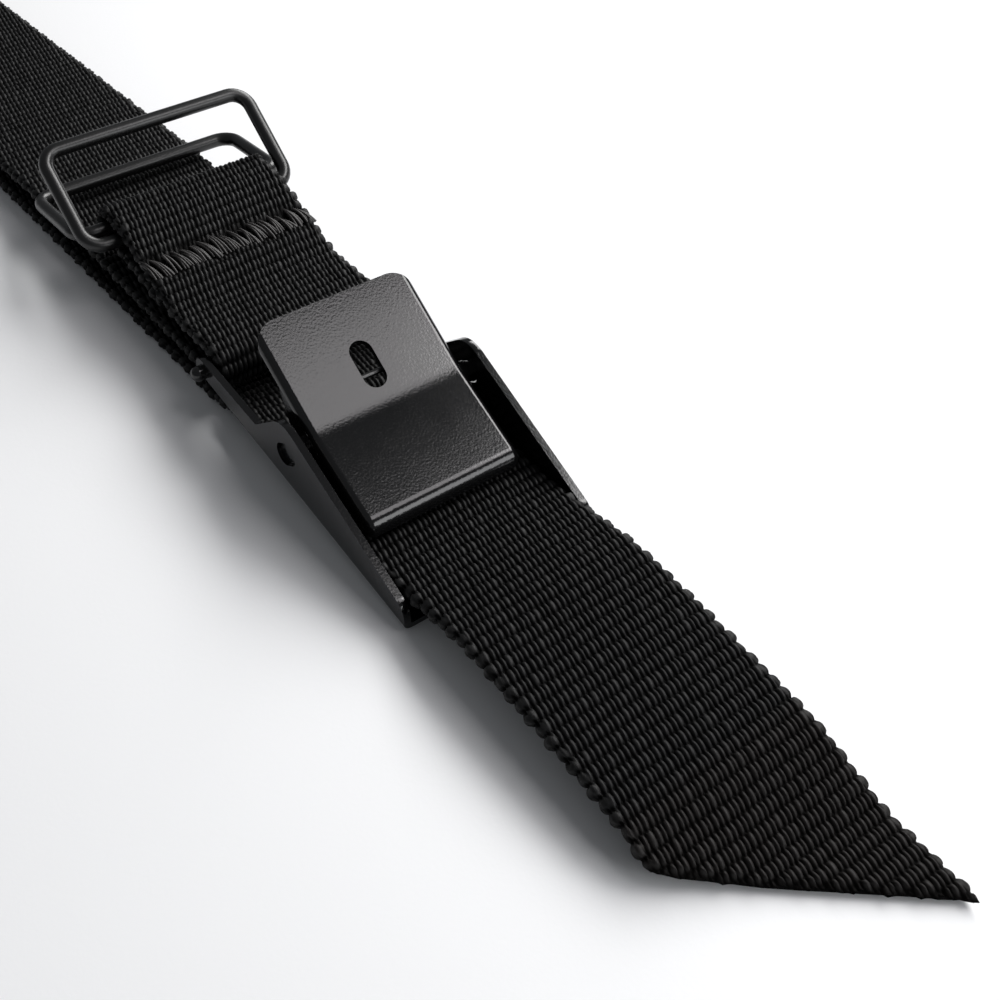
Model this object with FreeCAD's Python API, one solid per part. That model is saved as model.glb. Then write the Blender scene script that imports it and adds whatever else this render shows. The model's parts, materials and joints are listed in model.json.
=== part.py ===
import FreeCAD, Part
import math
import os

# Guitar strap: a ribbed webbing strap joined by a sprung cam buckle.
# The upper run ends in a loop round the buckle's rear pin and a sewn fold that holds two wire keeper
# rings. The lower run passes under it, through the buckle and out at the front as a slanted tail.
# Both runs go back to a flat folded stack with a leather end tab on each run.
# Millimetres. +X runs along the strap towards the tail tip, +Y across it, +Z up from the surface
# that it lies on. The origin is on the lower run's flat underside, just behind the buckle.

Vector = FreeCAD.Vector

# webbing
webbing_width = 24.6
webbing_thickness = 1.8
layer_gap = 0.2            # air between runs that lie on each other
run_yaw_deg = 2.6          # both runs leave the buckle turned by this much to the -Y side
run_joint_half = 0.5       # how far the straight and the turned stretch overlap past x = 0

# buckle frame, in its own tilted axes: u forward from the nose, w up from its underside
frame_nose_x = 48.5
frame_pitch_deg = 6.4
frame_sheet = 0.9
frame_side_gap = 0.15      # webbing edge to the inside of an ear
frame_bend_radius = 1.2
base_front_u = 1.8
base_rear_u = -29.0
pin_u = -42.4
arm_height = 3.4           # at the rear pin
arm_step_height = 4.1      # where the arm meets the step up to the ear
step_foot_u = -29.6
step_foot_radius = 0.8
ear_peak_u = -23.8
ear_peak_w = 10.35
ear_peak_radius = 4.0
ear_front_w = 3.3
ear_front_radius = 2.6

# rear pin, and how the webbing goes round it
pin_radius = 0.95
pin_ball_radius = 1.0
pin_stand_out = 0.6        # ball centre beyond an ear
wrap_gap = 0.35

# cam lever
pivot_u = -22.7
pivot_w = 5.5
lever_side_gap = 1.75      # lever to the inside of an ear, when it is centred
lever_side_shift = -0.3    # the lever rests a little to the -Y side on its pin
lever_sheet = 0.9
lever_bend_radius = 1.0
lever_rear_reach = 10.35   # rear edge behind the pivot
lever_rear_rise = 10.45
lever_knee_ahead = 1.95
lever_knee_rise = 3.05
lever_knee_radius = 14.0
lever_front_ahead = 13.7
lever_front_drop = 2.0
lever_nose_height = 1.6
lever_nose_radius = 2.2
lever_nose_lean = 0.15     # foot of the nose ahead of its top
lever_foot_length = 1.2
lever_corner_radius = 3.0
flange_start_behind = 4.6  # the side flanges start this far behind the pivot
flange_start_depth = 0.15  # and stand this far below the plate there
flange_land = 0.8          # metal round the pivot hole
flange_land_back = 0.55    # share of the land that lies behind the pivot
lever_hole_length = 6.2
lever_hole_width = 3.0
lever_hole_from_edge = 9.3
tooth_pitch = 2.0
tooth_width = 1.44
tooth_height = 0.9
tooth_root = 0.3           # how far a tooth reaches into the nose
tooth_edge = 1.0           # no teeth this close to a side of the lever
tooth_clearance = 0.42     # tooth tip to the webbing

# pivot pin: round between the flanges, with an oblong keyed end in each ear
pivot_radius = 1.3
pivot_clearance = 0.05
key_length = 4.3           # of the slot in the ear
key_clearance = 0.15
key_turn_deg = 40.0        # slots and keys rise towards the front by this much
key_recess = 0.5

# torsion spring with two coils and a middle bail under the lever
spring_wire_radius = 0.35
spring_coil_gap = 0.45     # pin to the inside of the coil
spring_turns = 5
spring_pitch = 0.78
spring_bail_half_width = 2.6
spring_bail_clearance = 0.12
spring_bail_radius = 1.0
spring_bail_past_hole = 0.9

# keeper rings
ring_wire_radius = 0.95
ring_side_gap = 2.0        # webbing edge to the ring's wire
ring_depth = 14.4          # bar centre to bar centre
ring_corner_radius = 2.5
ring_bar_height = 10.0
ring_spacing = 3.4         # between the two bars in the fold
ring_from_pin = 26.3       # front bar in the fold, behind the rear pin
ring_fold_gap = 0.3        # wire to webbing inside the fold
upper_ring_tilt_deg = 34.7
lower_ring_tilt_deg = -7.5

# loop and its sewn end
loop_lead = 3.0            # where the loop starts to bend round the pin, behind it
loop_lead_radius = 8.0
loop_dip = 0.6
loop_dip_from_pin = 9.8
loop_dip_radius = 12.0
loop_crest_ahead = 1.6     # where the loop levels off, ahead of the front bar
loop_crest_radius = 7.0
fold_foot_ahead = 4.6      # where the fold's lower side turns up, ahead of the crest
fold_foot_radius = 6.0
fold_end_from_pin = 13.6
sewn_gap = 0.15
tack_from_pin = 17.2
tack_length = 4.2
tack_thickness = 0.35
tack_inset = 0.5
tack_gap = 0.02

# upper run on its way back: distance behind the pin, rise above the loop's lower lane, bend radius
upper_run_leave_x = -3.0
upper_run_leave_radius = 25.0
upper_run_points = [(28.0, 1.0, 60.0), (46.0, 1.6, 60.0)]
upper_run_rest_from_pin = 111.0
upper_run_rest_lift = 0.1
upper_run_rest_radius = 80.0

# lower run over the base plate
webbing_lift_off_u = -9.7
webbing_lift_off_radius = 30.0
webbing_rear_lift = 0.15
webbing_rear_behind = 0.7  # behind the rear edge of the base plate
webbing_rear_radius = 6.0
webbing_flat_from_pin = 1.8
webbing_flat_radius = 9.0

# tail: place ahead of the nose and rise of the underside above the surface
tail_points = [(-4.0, 2.45), (10.5, 4.95), (21.5, 4.6), (38.8, 3.4), (49.0, 0.0)]
tail_bend_radius = 14.0
tail_tip = 60.7
tail_cut_length = 20.8

# folded stack and end tabs
stack_front_x = -120.0
stack_rear_x = -250.0
stack_lead = 4.0           # straight stretch ahead of the stack's front folds
tab_gap = 0.05
tab_thickness = 2.6
tab_width = 28.0
tab_length = 60.0
tab_overlap = 18.0
upper_webbing_end_x = -162.0
button_hole_radius = 3.5
button_slit_length = 9.0
button_slit_width = 1.0
button_hole_from_end = 15.0
seam_inset = 2.6
seam_length = 13.0
seam_width = 0.7
seam_thickness = 0.3
seam_gap = 0.02

margin = 1.0               # how far a cutting shape stands clear of what it cuts

# derived sizes
pitch_angle = math.radians(frame_pitch_deg)
frame_lift = base_front_u * math.sin(pitch_angle)
half_webbing = webbing_width / 2
ear_inner = half_webbing + frame_side_gap
ear_outer = ear_inner + frame_sheet
layer_step = webbing_thickness + layer_gap
wrap_radius = pin_radius + wrap_gap + webbing_thickness / 2
lever_half = ear_inner - lever_side_gap
fold_radius = ring_wire_radius + ring_fold_gap + webbing_thickness / 2


def tilted(u, w, y=0.0):
    """A point of the tilted buckle frame in row axes."""
    x = frame_nose_x + u * math.cos(pitch_angle) + w * math.sin(pitch_angle)
    z = frame_lift - u * math.sin(pitch_angle) + w * math.cos(pitch_angle)
    return Vector(x, y, z)


pin_w = arm_height / 2
pin = tilted(pin_u, pin_w)
pivot = tilted(pivot_u, pivot_w)
front_bar = Vector(pin.x - ring_from_pin, 0, ring_bar_height)
rear_bar = Vector(front_bar.x - ring_spacing, 0, ring_bar_height)
lane_bottom = pin.z - wrap_radius
lane_top = pin.z + wrap_radius


def layer_height(index):
    """Height of the middle of one layer of the folded stack."""
    return webbing_thickness / 2 + index * layer_step


def arc_at(before, corner, after, radius):
    """Start, middle, end and centre of the arc that rounds a corner."""
    way_in = (corner - before).normalize()
    way_out = (after - corner).normalize()
    half_turn = way_in.getAngle(way_out) / 2
    reach = radius * math.tan(half_turn)
    inward = (way_out - way_in).normalize()
    centre = corner + inward * (radius / math.cos(half_turn))
    return corner - way_in * reach, centre - inward * radius, corner + way_out * reach, centre


def rounded_path(stations):
    """Lines and tangent arcs through (x, z, radius) stations, as offset-ready pieces."""
    points = [Vector(x, 0, z) for x, z, radius in stations]
    pieces = []
    start = points[0]
    for index in range(1, len(points) - 1):
        radius = stations[index][2]
        around = points[index - 1:index + 2]
        arc_start, middle, arc_end, centre = arc_at(*around, radius)
        side = math.copysign(1.0, (around[2] - around[1]).cross(around[1] - around[0]).y)
        if (arc_start - start).Length > 1e-6:
            pieces.append((start, arc_start, None, None, 0.0))
        pieces.append((arc_start, arc_end, middle, centre, side * radius))
        start = arc_end
    pieces.append((start, points[-1], None, None, 0.0))
    return pieces


def rounded_prism(corners, y_low, y_high):
    """A closed outline of (x, z, radius) corners as a solid between two y values."""
    points = [Vector(x, y_low, z) for x, z, radius in corners]
    edges = []
    ends = []
    for index, (x, z, radius) in enumerate(corners):
        after = points[(index + 1) % len(points)]
        if radius > 0:
            arc_start, middle, arc_end, centre = arc_at(points[index - 1], points[index], after, radius)
            edges.append(Part.Arc(arc_start, middle, arc_end).toShape())
            ends.append((arc_start, arc_end))
        else:
            ends.append((points[index], points[index]))
    for (arc_start, leave), (arrive, arc_end) in zip(ends, ends[1:] + ends[:1]):
        edges.append(Part.LineSegment(leave, arrive).toShape())
    face = Part.Face(Part.Wire(Part.__sortEdges__(edges)))
    return face.extrude(Vector(0, y_high - y_low, 0))


def offset_edge(piece, distance):
    """One path piece moved to its left by a distance."""
    start, end, middle, centre, radius = piece
    if centre is None:
        along = (end - start).normalize()
        left = Vector(-along.z, 0, along.x) * distance
        return Part.LineSegment(start + left, end + left).toShape()
    new_radius = abs(radius) - distance * math.copysign(1.0, radius)
    moved = [centre + (point - centre).normalize() * new_radius for point in (start, middle, end)]
    return Part.Arc(moved[0], moved[1], moved[2]).toShape()


def ribbon(stations, thickness, width):
    """A strip of webbing that follows a path, centred on y = 0."""
    pieces = rounded_path(stations)
    left = [offset_edge(piece, thickness / 2) for piece in pieces]
    right = [offset_edge(piece, -thickness / 2) for piece in pieces]
    caps = []
    for index in (0, -1):
        ends = [edges[index].Vertexes[index].Point for edges in (left, right)]
        caps.append(Part.LineSegment(ends[0], ends[1]).toShape())
    wire = Part.Wire(Part.__sortEdges__(left + right + caps))
    face = Part.Face(wire)
    face.translate(Vector(0, -width / 2, 0))
    return face.extrude(Vector(0, width, 0))


def prism(points, y_low, y_high):
    """A closed outline of (x, z) points as a solid between two y values."""
    corners = [Vector(x, y_low, z) for x, z in points]
    face = Part.Face(Part.makePolygon(corners + corners[:1]))
    return face.extrude(Vector(0, y_high - y_low, 0))


def block(x_low, x_high, y_low, y_high, z_low, z_high):
    """A box between two corners."""
    low = Vector(x_low, y_low, z_low)
    return Part.makeBox(x_high - x_low, y_high - y_low, z_high - z_low, low)


def across(centre, radius, y_low, y_high):
    """A cylinder along Y."""
    foot = Vector(centre.x, y_low, centre.z)
    return Part.makeCylinder(radius, y_high - y_low, foot, Vector(0, 1, 0))


def turned(shape, origin, degrees):
    """A copy turned about the Y axis through a point; positive lifts the rear."""
    copy = shape.copy()
    copy.rotate(origin, Vector(0, 1, 0), degrees)
    return copy


def yawed(shape):
    """A copy turned to the side with the two runs, about the origin."""
    copy = shape.copy()
    copy.rotate(Vector(0, 0, 0), Vector(0, 0, 1), run_yaw_deg)
    return copy


def oblong(length, width, depth):
    """A slot-shaped plug lying along X, centred on the origin, with its depth along Y."""
    straight = length - width
    middle = block(-straight / 2, straight / 2, -depth / 2, depth / 2, -width / 2, width / 2)
    for x in (-straight / 2, straight / 2):
        middle = middle.fuse(across(Vector(x, 0, 0), width / 2, -depth / 2, depth / 2))
    return middle.removeSplitter()


def bent_wire(points, bend_radius, wire_radius):
    """A round wire along 3-D points with tangent arcs at its corners."""
    edges = []
    start = points[0]
    for before, corner, after in zip(points, points[1:], points[2:]):
        arc_start, middle, arc_end, centre = arc_at(before, corner, after, bend_radius)
        edges.append(Part.LineSegment(start, arc_start).toShape())
        edges.append(Part.Arc(arc_start, middle, arc_end).toShape())
        start = arc_end
    edges.append(Part.LineSegment(start, points[-1]).toShape())
    path = Part.Wire(edges)
    way = (points[1] - points[0]).normalize()
    profile = Part.Wire(Part.makeCircle(wire_radius, points[0], way))
    return path.makePipeShell([profile], True, False)


def upper_webbing():
    """Fold, loop round the pin, and the upper run back to its stack."""
    fold_low = ring_bar_height - fold_radius
    fold_high = ring_bar_height + fold_radius
    dip_x = pin.x - loop_dip_from_pin
    dip_z = lane_top - loop_dip
    crest_x = front_bar.x + loop_crest_ahead
    slope = (fold_high - dip_z) / (dip_x - crest_x)
    end_x = pin.x - fold_end_from_pin
    step = (webbing_thickness + sewn_gap) * math.hypot(1.0, slope)
    end_z = dip_z + slope * (dip_x - end_x) - step
    under_x = crest_x + fold_foot_ahead
    wrap_x = pin.x + wrap_radius
    fold_x = rear_bar.x - fold_radius
    loop = [
        (end_x, end_z, 0.0),
        (under_x, fold_low, fold_foot_radius),
        (fold_x, fold_low, fold_radius),
        (fold_x, fold_high, fold_radius),
        (crest_x, fold_high, loop_crest_radius),
        (dip_x, dip_z, loop_dip_radius),
        (pin.x - loop_lead, lane_top, loop_lead_radius),
        (wrap_x, lane_top, wrap_radius),
        (wrap_x, lane_bottom, wrap_radius),
    ]
    back = [(run_joint_half, lane_bottom, 0.0), (upper_run_leave_x, lane_bottom, upper_run_leave_radius)]
    back += [(pin.x - behind, lane_bottom + rise, radius) for behind, rise, radius in upper_run_points]
    back += [
        (pin.x - upper_run_rest_from_pin, layer_height(1) + upper_run_rest_lift, upper_run_rest_radius),
        (stack_front_x + stack_lead, layer_height(1), upper_run_rest_radius),
    ]
    inner = layer_step / 2
    outer = 3 * inner
    rear_in = stack_rear_x - inner
    front_out = stack_front_x + outer
    back += [
        (rear_in, layer_height(1), inner),
        (rear_in, layer_height(2), inner),
        (front_out, layer_height(2), outer),
        (front_out, layer_height(5), outer),
        (rear_in, layer_height(5), inner),
        (rear_in, layer_height(6), inner),
        (upper_webbing_end_x, layer_height(6), 0.0),
    ]
    loop.append((-run_joint_half, lane_bottom, 0.0))
    front_half = ribbon(loop, webbing_thickness, webbing_width)
    rear_half = ribbon(back, webbing_thickness, webbing_width)
    return front_half.fuse(yawed(rear_half)).removeSplitter()


def lower_webbing():
    """Tail, stretch through the buckle, and the lower run back to its stack."""
    flat = layer_height(0)
    on_base = frame_sheet + layer_gap / 2 + webbing_thickness / 2
    base_rear = tilted(base_rear_u - webbing_rear_behind, on_base + webbing_rear_lift)
    base_front = tilted(webbing_lift_off_u, on_base)
    tip_x = frame_nose_x + tail_tip
    front = [(tip_x, flat, 0.0)]
    front += [(frame_nose_x + ahead, flat + rise, tail_bend_radius) for ahead, rise in reversed(tail_points)]
    front += [
        (base_front.x, base_front.z, webbing_lift_off_radius),
        (base_rear.x, base_rear.z, webbing_rear_radius),
        (pin.x - webbing_flat_from_pin, flat, webbing_flat_radius),
        (-run_joint_half, flat, 0.0),
    ]
    inner = layer_step / 2
    outer = 3 * inner
    rear_out = stack_rear_x - outer
    front_in = stack_front_x + inner
    back = [
        (run_joint_half, flat, 0.0),
        (rear_out, flat, outer),
        (rear_out, layer_height(3), outer),
        (front_in, layer_height(3), inner),
        (front_in, layer_height(4), inner),
        (rear_out, layer_height(4), outer),
        (rear_out, layer_height(7), outer),
        (stack_rear_x + tab_overlap, layer_height(7), 0.0),
    ]
    front_half = ribbon(front, webbing_thickness, webbing_width).cut(tail_offcut(tip_x))
    rear_half = ribbon(back, webbing_thickness, webbing_width)
    return front_half.fuse(yawed(rear_half)).removeSplitter()


def tail_offcut(tip_x):
    """What the slanted cut takes off the end of the tail."""
    slant = margin * tail_cut_length / webbing_width
    side = half_webbing + margin
    far = tip_x + slant + margin
    outline = [
        Vector(tip_x + slant, side, -margin),
        Vector(tip_x - tail_cut_length - slant, -side, -margin),
        Vector(far, -side, -margin),
        Vector(far, side, -margin),
    ]
    face = Part.Face(Part.makePolygon(outline + outline[:1]))
    return face.extrude(Vector(0, 0, ring_bar_height))


def buckle_frame():
    """Stamped frame: a base plate and two ears bent up from one sheet."""
    rear_end = pin_u - arm_height / 2
    clear = ear_outer + margin
    channel = block(rear_end, base_front_u, -ear_outer, ear_outer, 0, ear_peak_w)
    channel = channel.makeFillet(frame_bend_radius, lengthwise_edges(channel, 0))
    inner = block(rear_end - margin, base_front_u + margin, -ear_inner, ear_inner, frame_sheet,
                  ear_peak_w + margin)
    inner = inner.makeFillet(frame_bend_radius - frame_sheet, lengthwise_edges(inner, frame_sheet))
    channel = channel.cut(inner)

    end_radius = arm_height * 0.49
    ear_line = [
        (rear_end, 0, end_radius),
        (rear_end, arm_height, end_radius),
        (step_foot_u, arm_step_height, step_foot_radius),
        (ear_peak_u, ear_peak_w, ear_peak_radius),
        (base_front_u, ear_front_w, ear_front_radius),
        (base_front_u, 0, 0),
    ]
    frame = channel.common(rounded_prism(ear_line, -clear, clear))
    opening = block(rear_end - margin, base_rear_u, -ear_inner, ear_inner, -margin, ear_peak_w)
    frame = frame.cut(opening)
    frame = frame.cut(across(Vector(pin_u, 0, pin_w), pin_radius, -clear, clear))
    slot = oblong(key_length, 2 * (pivot_radius + key_clearance), 2 * clear)
    slot.rotate(Vector(0, 0, 0), Vector(0, 1, 0), -key_turn_deg)
    slot.translate(Vector(pivot_u, 0, pivot_w))
    return to_row(frame.cut(slot))


def lengthwise_edges(shape, height):
    """The straight edges along X at one height."""
    found = []
    for edge in shape.Edges:
        box = edge.BoundBox
        if box.YLength < 1e-6 and box.ZLength < 1e-6 and abs(box.ZMax - height) < 1e-6:
            found.append(edge)
    return found


def to_row(shape):
    """A shape of the tilted frame axes placed in row axes."""
    copy = shape.copy()
    copy.rotate(Vector(0, 0, 0), Vector(0, 1, 0), frame_pitch_deg)
    copy.translate(Vector(frame_nose_x, 0, frame_lift))
    return copy


def rear_pin():
    """Cross pin with a ball at each end, held by the two rear arms."""
    half = ear_outer + pin_stand_out
    body = across(pin, pin_radius, -half, half)
    for side in (-1, 1):
        body = body.fuse(Part.makeSphere(pin_ball_radius, Vector(pin.x, side * half, pin.z)))
    return body.removeSplitter()


def lever_point(ahead, rise, radius=0.0):
    """A corner of the lever's side view, measured from the pivot."""
    return (pivot.x + ahead, pivot.z + rise, radius)


def lever_side(inset):
    """Side outline of the lever, moved inwards by a sheet thickness where asked."""
    knee_slope = (lever_rear_rise - lever_knee_rise) / (lever_rear_reach + lever_knee_ahead)
    nose_slope = (lever_knee_rise + lever_front_drop) / (lever_front_ahead - lever_knee_ahead)
    drop_rear = inset * math.hypot(1.0, knee_slope)
    drop_nose = inset * math.hypot(1.0, nose_slope)
    front = lever_front_ahead - inset
    front_z = -lever_front_drop - drop_nose + nose_slope * inset
    foot_z = -lever_front_drop - lever_nose_height - inset
    land = pivot_radius + flange_land
    under = (lever_sheet + flange_start_depth) * math.hypot(1.0, knee_slope) + inset
    start_rise = lever_knee_rise + knee_slope * (lever_knee_ahead + flange_start_behind) - under
    edge_reach = lever_rear_reach + lever_sheet * math.sin(math.atan(knee_slope)) + inset
    edge_rise = lever_knee_rise + knee_slope * (lever_knee_ahead + edge_reach) - under
    return [
        lever_point(-lever_rear_reach - inset, lever_rear_rise - drop_rear + knee_slope * inset),
        lever_point(lever_knee_ahead, lever_knee_rise - (drop_rear + drop_nose) / 2, lever_knee_radius),
        lever_point(front, front_z, lever_nose_radius - inset),
        lever_point(front + lever_nose_lean, foot_z),
        lever_point(front - lever_foot_length + inset, foot_z),
        lever_point(-land * flange_land_back, -land - inset, land),
        lever_point(-flange_start_behind, start_rise),
        lever_point(-edge_reach, edge_rise),
    ]


def cam_lever():
    """Thumb plate with side flanges, a curled front and teeth."""
    lever = lever_shell(lever_half, 0.0, lever_bend_radius)
    lever = lever.cut(lever_shell(lever_half - lever_sheet, lever_sheet, lever_bend_radius - lever_sheet))
    depth = 4 * lever_sheet
    for side in (-1, 1):
        corner = block(-margin, lever_corner_radius, 0, lever_corner_radius + margin, -depth, depth)
        foot = Vector(lever_corner_radius, 0, -depth)
        corner = corner.cut(Part.makeCylinder(lever_corner_radius, 2 * depth, foot))
        corner = corner.mirror(Vector(0, 0, 0), Vector(0, 1, 0)) if side < 0 else corner
        corner.translate(Vector(0, side * (lever_half - lever_corner_radius), 0))
        lever = lever.cut(on_plate(corner))
    hole = oblong(lever_hole_length, lever_hole_width, 2 * depth)
    hole.rotate(Vector(0, 0, 0), Vector(1, 0, 0), 90)
    hole.translate(Vector(lever_hole_from_edge, 0, 0))
    lever = lever.cut(on_plate(hole))
    lever = lever.cut(across(pivot, pivot_radius + pivot_clearance, -ear_outer, ear_outer))

    front_x, foot_z = lever_point(lever_front_ahead, -lever_front_drop - lever_nose_height)[:2]
    back_x = front_x - lever_sheet + tooth_root
    tip_z = max(webbing_top(back_x) + tooth_clearance, foot_z - tooth_height)
    count = int(2 * (lever_half - tooth_edge) / tooth_pitch)
    for index in range(count):
        y = (index - (count - 1) / 2) * tooth_pitch
        outline = [(back_x, foot_z + tooth_root), (front_x, foot_z + tooth_root), (back_x, tip_z)]
        lever = lever.fuse(prism(outline, y - tooth_width / 2, y + tooth_width / 2))
    lever = lever.removeSplitter()
    lever.translate(Vector(0, lever_side_shift, 0))
    return lever


def lever_shell(half, inset, bend_radius):
    """The lever's outline as a solid with its long top corners rounded."""
    outline = lever_side(inset)
    solid = rounded_prism(outline, -half, half)
    top = []
    for edge in solid.Edges:
        box = edge.BoundBox
        on_side = box.YLength < 1e-6 and abs(abs(box.YMin) - half) < 1e-6
        if on_side and box.XLength > lever_corner_radius and abs(box.ZMax - outline[0][1]) < 1e-6:
            top.append(edge)
    return solid.makeFillet(bend_radius, top)


def plate_slope():
    """Slope of the lever's rear plate, in radians."""
    return math.atan2(lever_rear_rise - lever_knee_rise, lever_rear_reach + lever_knee_ahead)


def on_plate(shape):
    """A shape drawn on the rear edge of a level plate, placed on the lever's rear plate."""
    rear = lever_point(-lever_rear_reach, lever_rear_rise)
    shape.rotate(Vector(0, 0, 0), Vector(0, 1, 0), math.degrees(plate_slope()))
    shape.translate(Vector(rear[0], 0, rear[1]))
    return shape


def webbing_top(x):
    """Height of the webbing's upper face where it lies along the base plate."""
    behind_nose = frame_nose_x - x
    on_plate = (frame_sheet + layer_gap / 2 + webbing_thickness) / math.cos(pitch_angle)
    return frame_lift + behind_nose * math.tan(pitch_angle) + on_plate


def cam_pivot_pin():
    """Pivot pin with an oblong key in each ear's slot."""
    half = ear_inner + frame_sheet - key_recess
    body = across(pivot, pivot_radius, -half, half)
    key_depth = frame_sheet - key_recess
    for side in (-1, 1):
        key = oblong(key_length - 2 * key_clearance, 2 * pivot_radius, key_depth)
        key.rotate(Vector(0, 0, 0), Vector(0, 1, 0), frame_pitch_deg - key_turn_deg)
        key.translate(Vector(pivot.x, side * (half - key_depth / 2), pivot.z))
        body = body.fuse(key)
    return body.removeSplitter()


def cam_spring():
    """Two coils on the pivot pin and the bail that lifts the thumb plate."""
    coil_radius = pivot_radius + spring_coil_gap + spring_wire_radius
    inner_turns = []
    outer_turns = []
    for side in (-1, 1):
        for index in range(spring_turns):
            centre = Vector(pivot.x, side * (spring_bail_half_width + index * spring_pitch), pivot.z)
            turn = Part.makeTorus(coil_radius, spring_wire_radius, centre, Vector(0, 1, 0))
            (outer_turns if index else inner_turns).append(turn)
    slope = plate_slope()
    under = lever_sheet + spring_wire_radius + spring_bail_clearance
    rear = lever_point(-lever_rear_reach, lever_rear_rise)
    reach = lever_hole_from_edge + spring_bail_past_hole
    tip_x = rear[0] + reach * math.cos(slope) - under * math.sin(slope)
    tip_z = rear[1] - reach * math.sin(slope) - under * math.cos(slope)
    foot = Vector(pivot.x - coil_radius, 0, pivot.z)
    points = [Vector(foot.x, -spring_bail_half_width, foot.z), Vector(tip_x, -spring_bail_half_width, tip_z),
              Vector(tip_x, spring_bail_half_width, tip_z), Vector(foot.x, spring_bail_half_width, foot.z)]
    bail = bent_wire(points, spring_bail_radius, spring_wire_radius)
    return Part.makeCompound([bail.fuse(inner_turns)] + outer_turns)


def keeper_ring(bar, tilt_deg):
    """Rectangular wire ring, lying rearwards from its bar and lifted by its tilt."""
    half = half_webbing + ring_side_gap + ring_wire_radius
    corners = [Vector(bar.x, 0, bar.z), Vector(bar.x, half, bar.z), Vector(bar.x - ring_depth, half, bar.z),
               Vector(bar.x - ring_depth, -half, bar.z), Vector(bar.x, -half, bar.z), Vector(bar.x, 0, bar.z)]
    ring = bent_wire(corners, ring_corner_radius, ring_wire_radius)
    return turned(ring, bar, tilt_deg)


def bar_tack():
    """The dense stitching across the loop, as a thin pad on its face."""
    fold_high = ring_bar_height + fold_radius
    dip_x = pin.x - loop_dip_from_pin
    dip_z = lane_top - loop_dip
    crest_x = front_bar.x + loop_crest_ahead
    slope = (fold_high - dip_z) / (dip_x - crest_x)
    centre_x = pin.x - tack_from_pin
    centre_z = dip_z + slope * (dip_x - centre_x)
    half = half_webbing - tack_inset
    low = webbing_thickness / 2 + tack_gap
    pad = block(-tack_length / 2, tack_length / 2, -half, half, low, low + tack_thickness)
    pad.rotate(Vector(0, 0, 0), Vector(0, 1, 0), math.degrees(math.atan(slope)))
    pad.translate(Vector(centre_x, 0, centre_z))
    return pad


def end_tab(webbing_end_x, webbing_layer):
    """Leather end with a button hole and its slit, lying on the end of a run."""
    bottom = layer_height(webbing_layer) + webbing_thickness / 2 + tab_gap
    start = webbing_end_x - tab_overlap
    round_x = start + tab_length - tab_width / 2
    body = block(start, round_x, -tab_width / 2, tab_width / 2, bottom, bottom + tab_thickness)
    tip = Part.makeCylinder(tab_width / 2, tab_thickness, Vector(round_x, 0, bottom))
    body = body.fuse(tip).removeSplitter()
    hole_x = start + tab_length - button_hole_from_end
    foot = Vector(hole_x, 0, bottom - margin)
    body = body.cut(Part.makeCylinder(button_hole_radius, tab_thickness + 2 * margin, foot))
    slit_end = hole_x - button_hole_radius - button_slit_length
    slit = block(slit_end, hole_x, -button_slit_width / 2, button_slit_width / 2, bottom - margin,
                 bottom + tab_thickness + margin)
    return yawed(body.cut(slit))


def tab_stitching(webbing_end_x, webbing_layer):
    """A rectangle of stitching through a leather end and its webbing."""
    bottom = layer_height(webbing_layer) + webbing_thickness / 2 + tab_gap + tab_thickness + seam_gap
    start = webbing_end_x - tab_overlap + seam_inset
    half = half_webbing - seam_inset
    outer = block(start, start + seam_length, -half, half, bottom, bottom + seam_thickness)
    inner = block(start + seam_width, start + seam_length - seam_width, -half + seam_width,
                  half - seam_width, bottom - margin, bottom + seam_thickness + margin)
    return yawed(outer.cut(inner))


lower_webbing_end_x = stack_rear_x + tab_overlap
nodes = {
    "upper_webbing": upper_webbing(),
    "lower_webbing": lower_webbing(),
    "buckle_frame": buckle_frame(),
    "rear_pin": rear_pin(),
    "cam_lever": cam_lever(),
    "cam_pivot_pin": cam_pivot_pin(),
    "cam_spring": cam_spring(),
    "upper_keeper_ring": keeper_ring(front_bar, upper_ring_tilt_deg),
    "lower_keeper_ring": keeper_ring(rear_bar, lower_ring_tilt_deg),
    "bar_tack": bar_tack(),
    "upper_end_tab": end_tab(upper_webbing_end_x, 6),
    "lower_end_tab": end_tab(lower_webbing_end_x, 7),
    "upper_tab_stitching": tab_stitching(upper_webbing_end_x, 6),
    "lower_tab_stitching": tab_stitching(lower_webbing_end_x, 7),
}

os.makedirs("parts", exist_ok=True)
for name, shape in nodes.items():
    shape.exportStep(os.path.join("parts", name + ".step"))
    box = shape.BoundBox
    print(name, "valid", shape.isValid(), "solids", len(shape.Solids), "volume", round(shape.Volume, 2))
    print("   x", round(box.XMin, 2), round(box.XMax, 2), "y", round(box.YMin, 2), round(box.YMax, 2),
          "z", round(box.ZMin, 2), round(box.ZMax, 2))
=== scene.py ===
"""Guitar strap with a sprung cam buckle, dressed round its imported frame.

Every piece is built in metres in the frame's own axes: +X along the strap towards the loose tail, +Y across
it and +Z up. Webbing is a swept strip whose weave a geometry tree raises; metal parts are smooth solids.
"""

import json
import logging
import math
from dataclasses import dataclass, field
from enum import Enum
from functools import partial

import bmesh
import bpy
import numpy as np
from mathutils import Matrix, Vector


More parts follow.
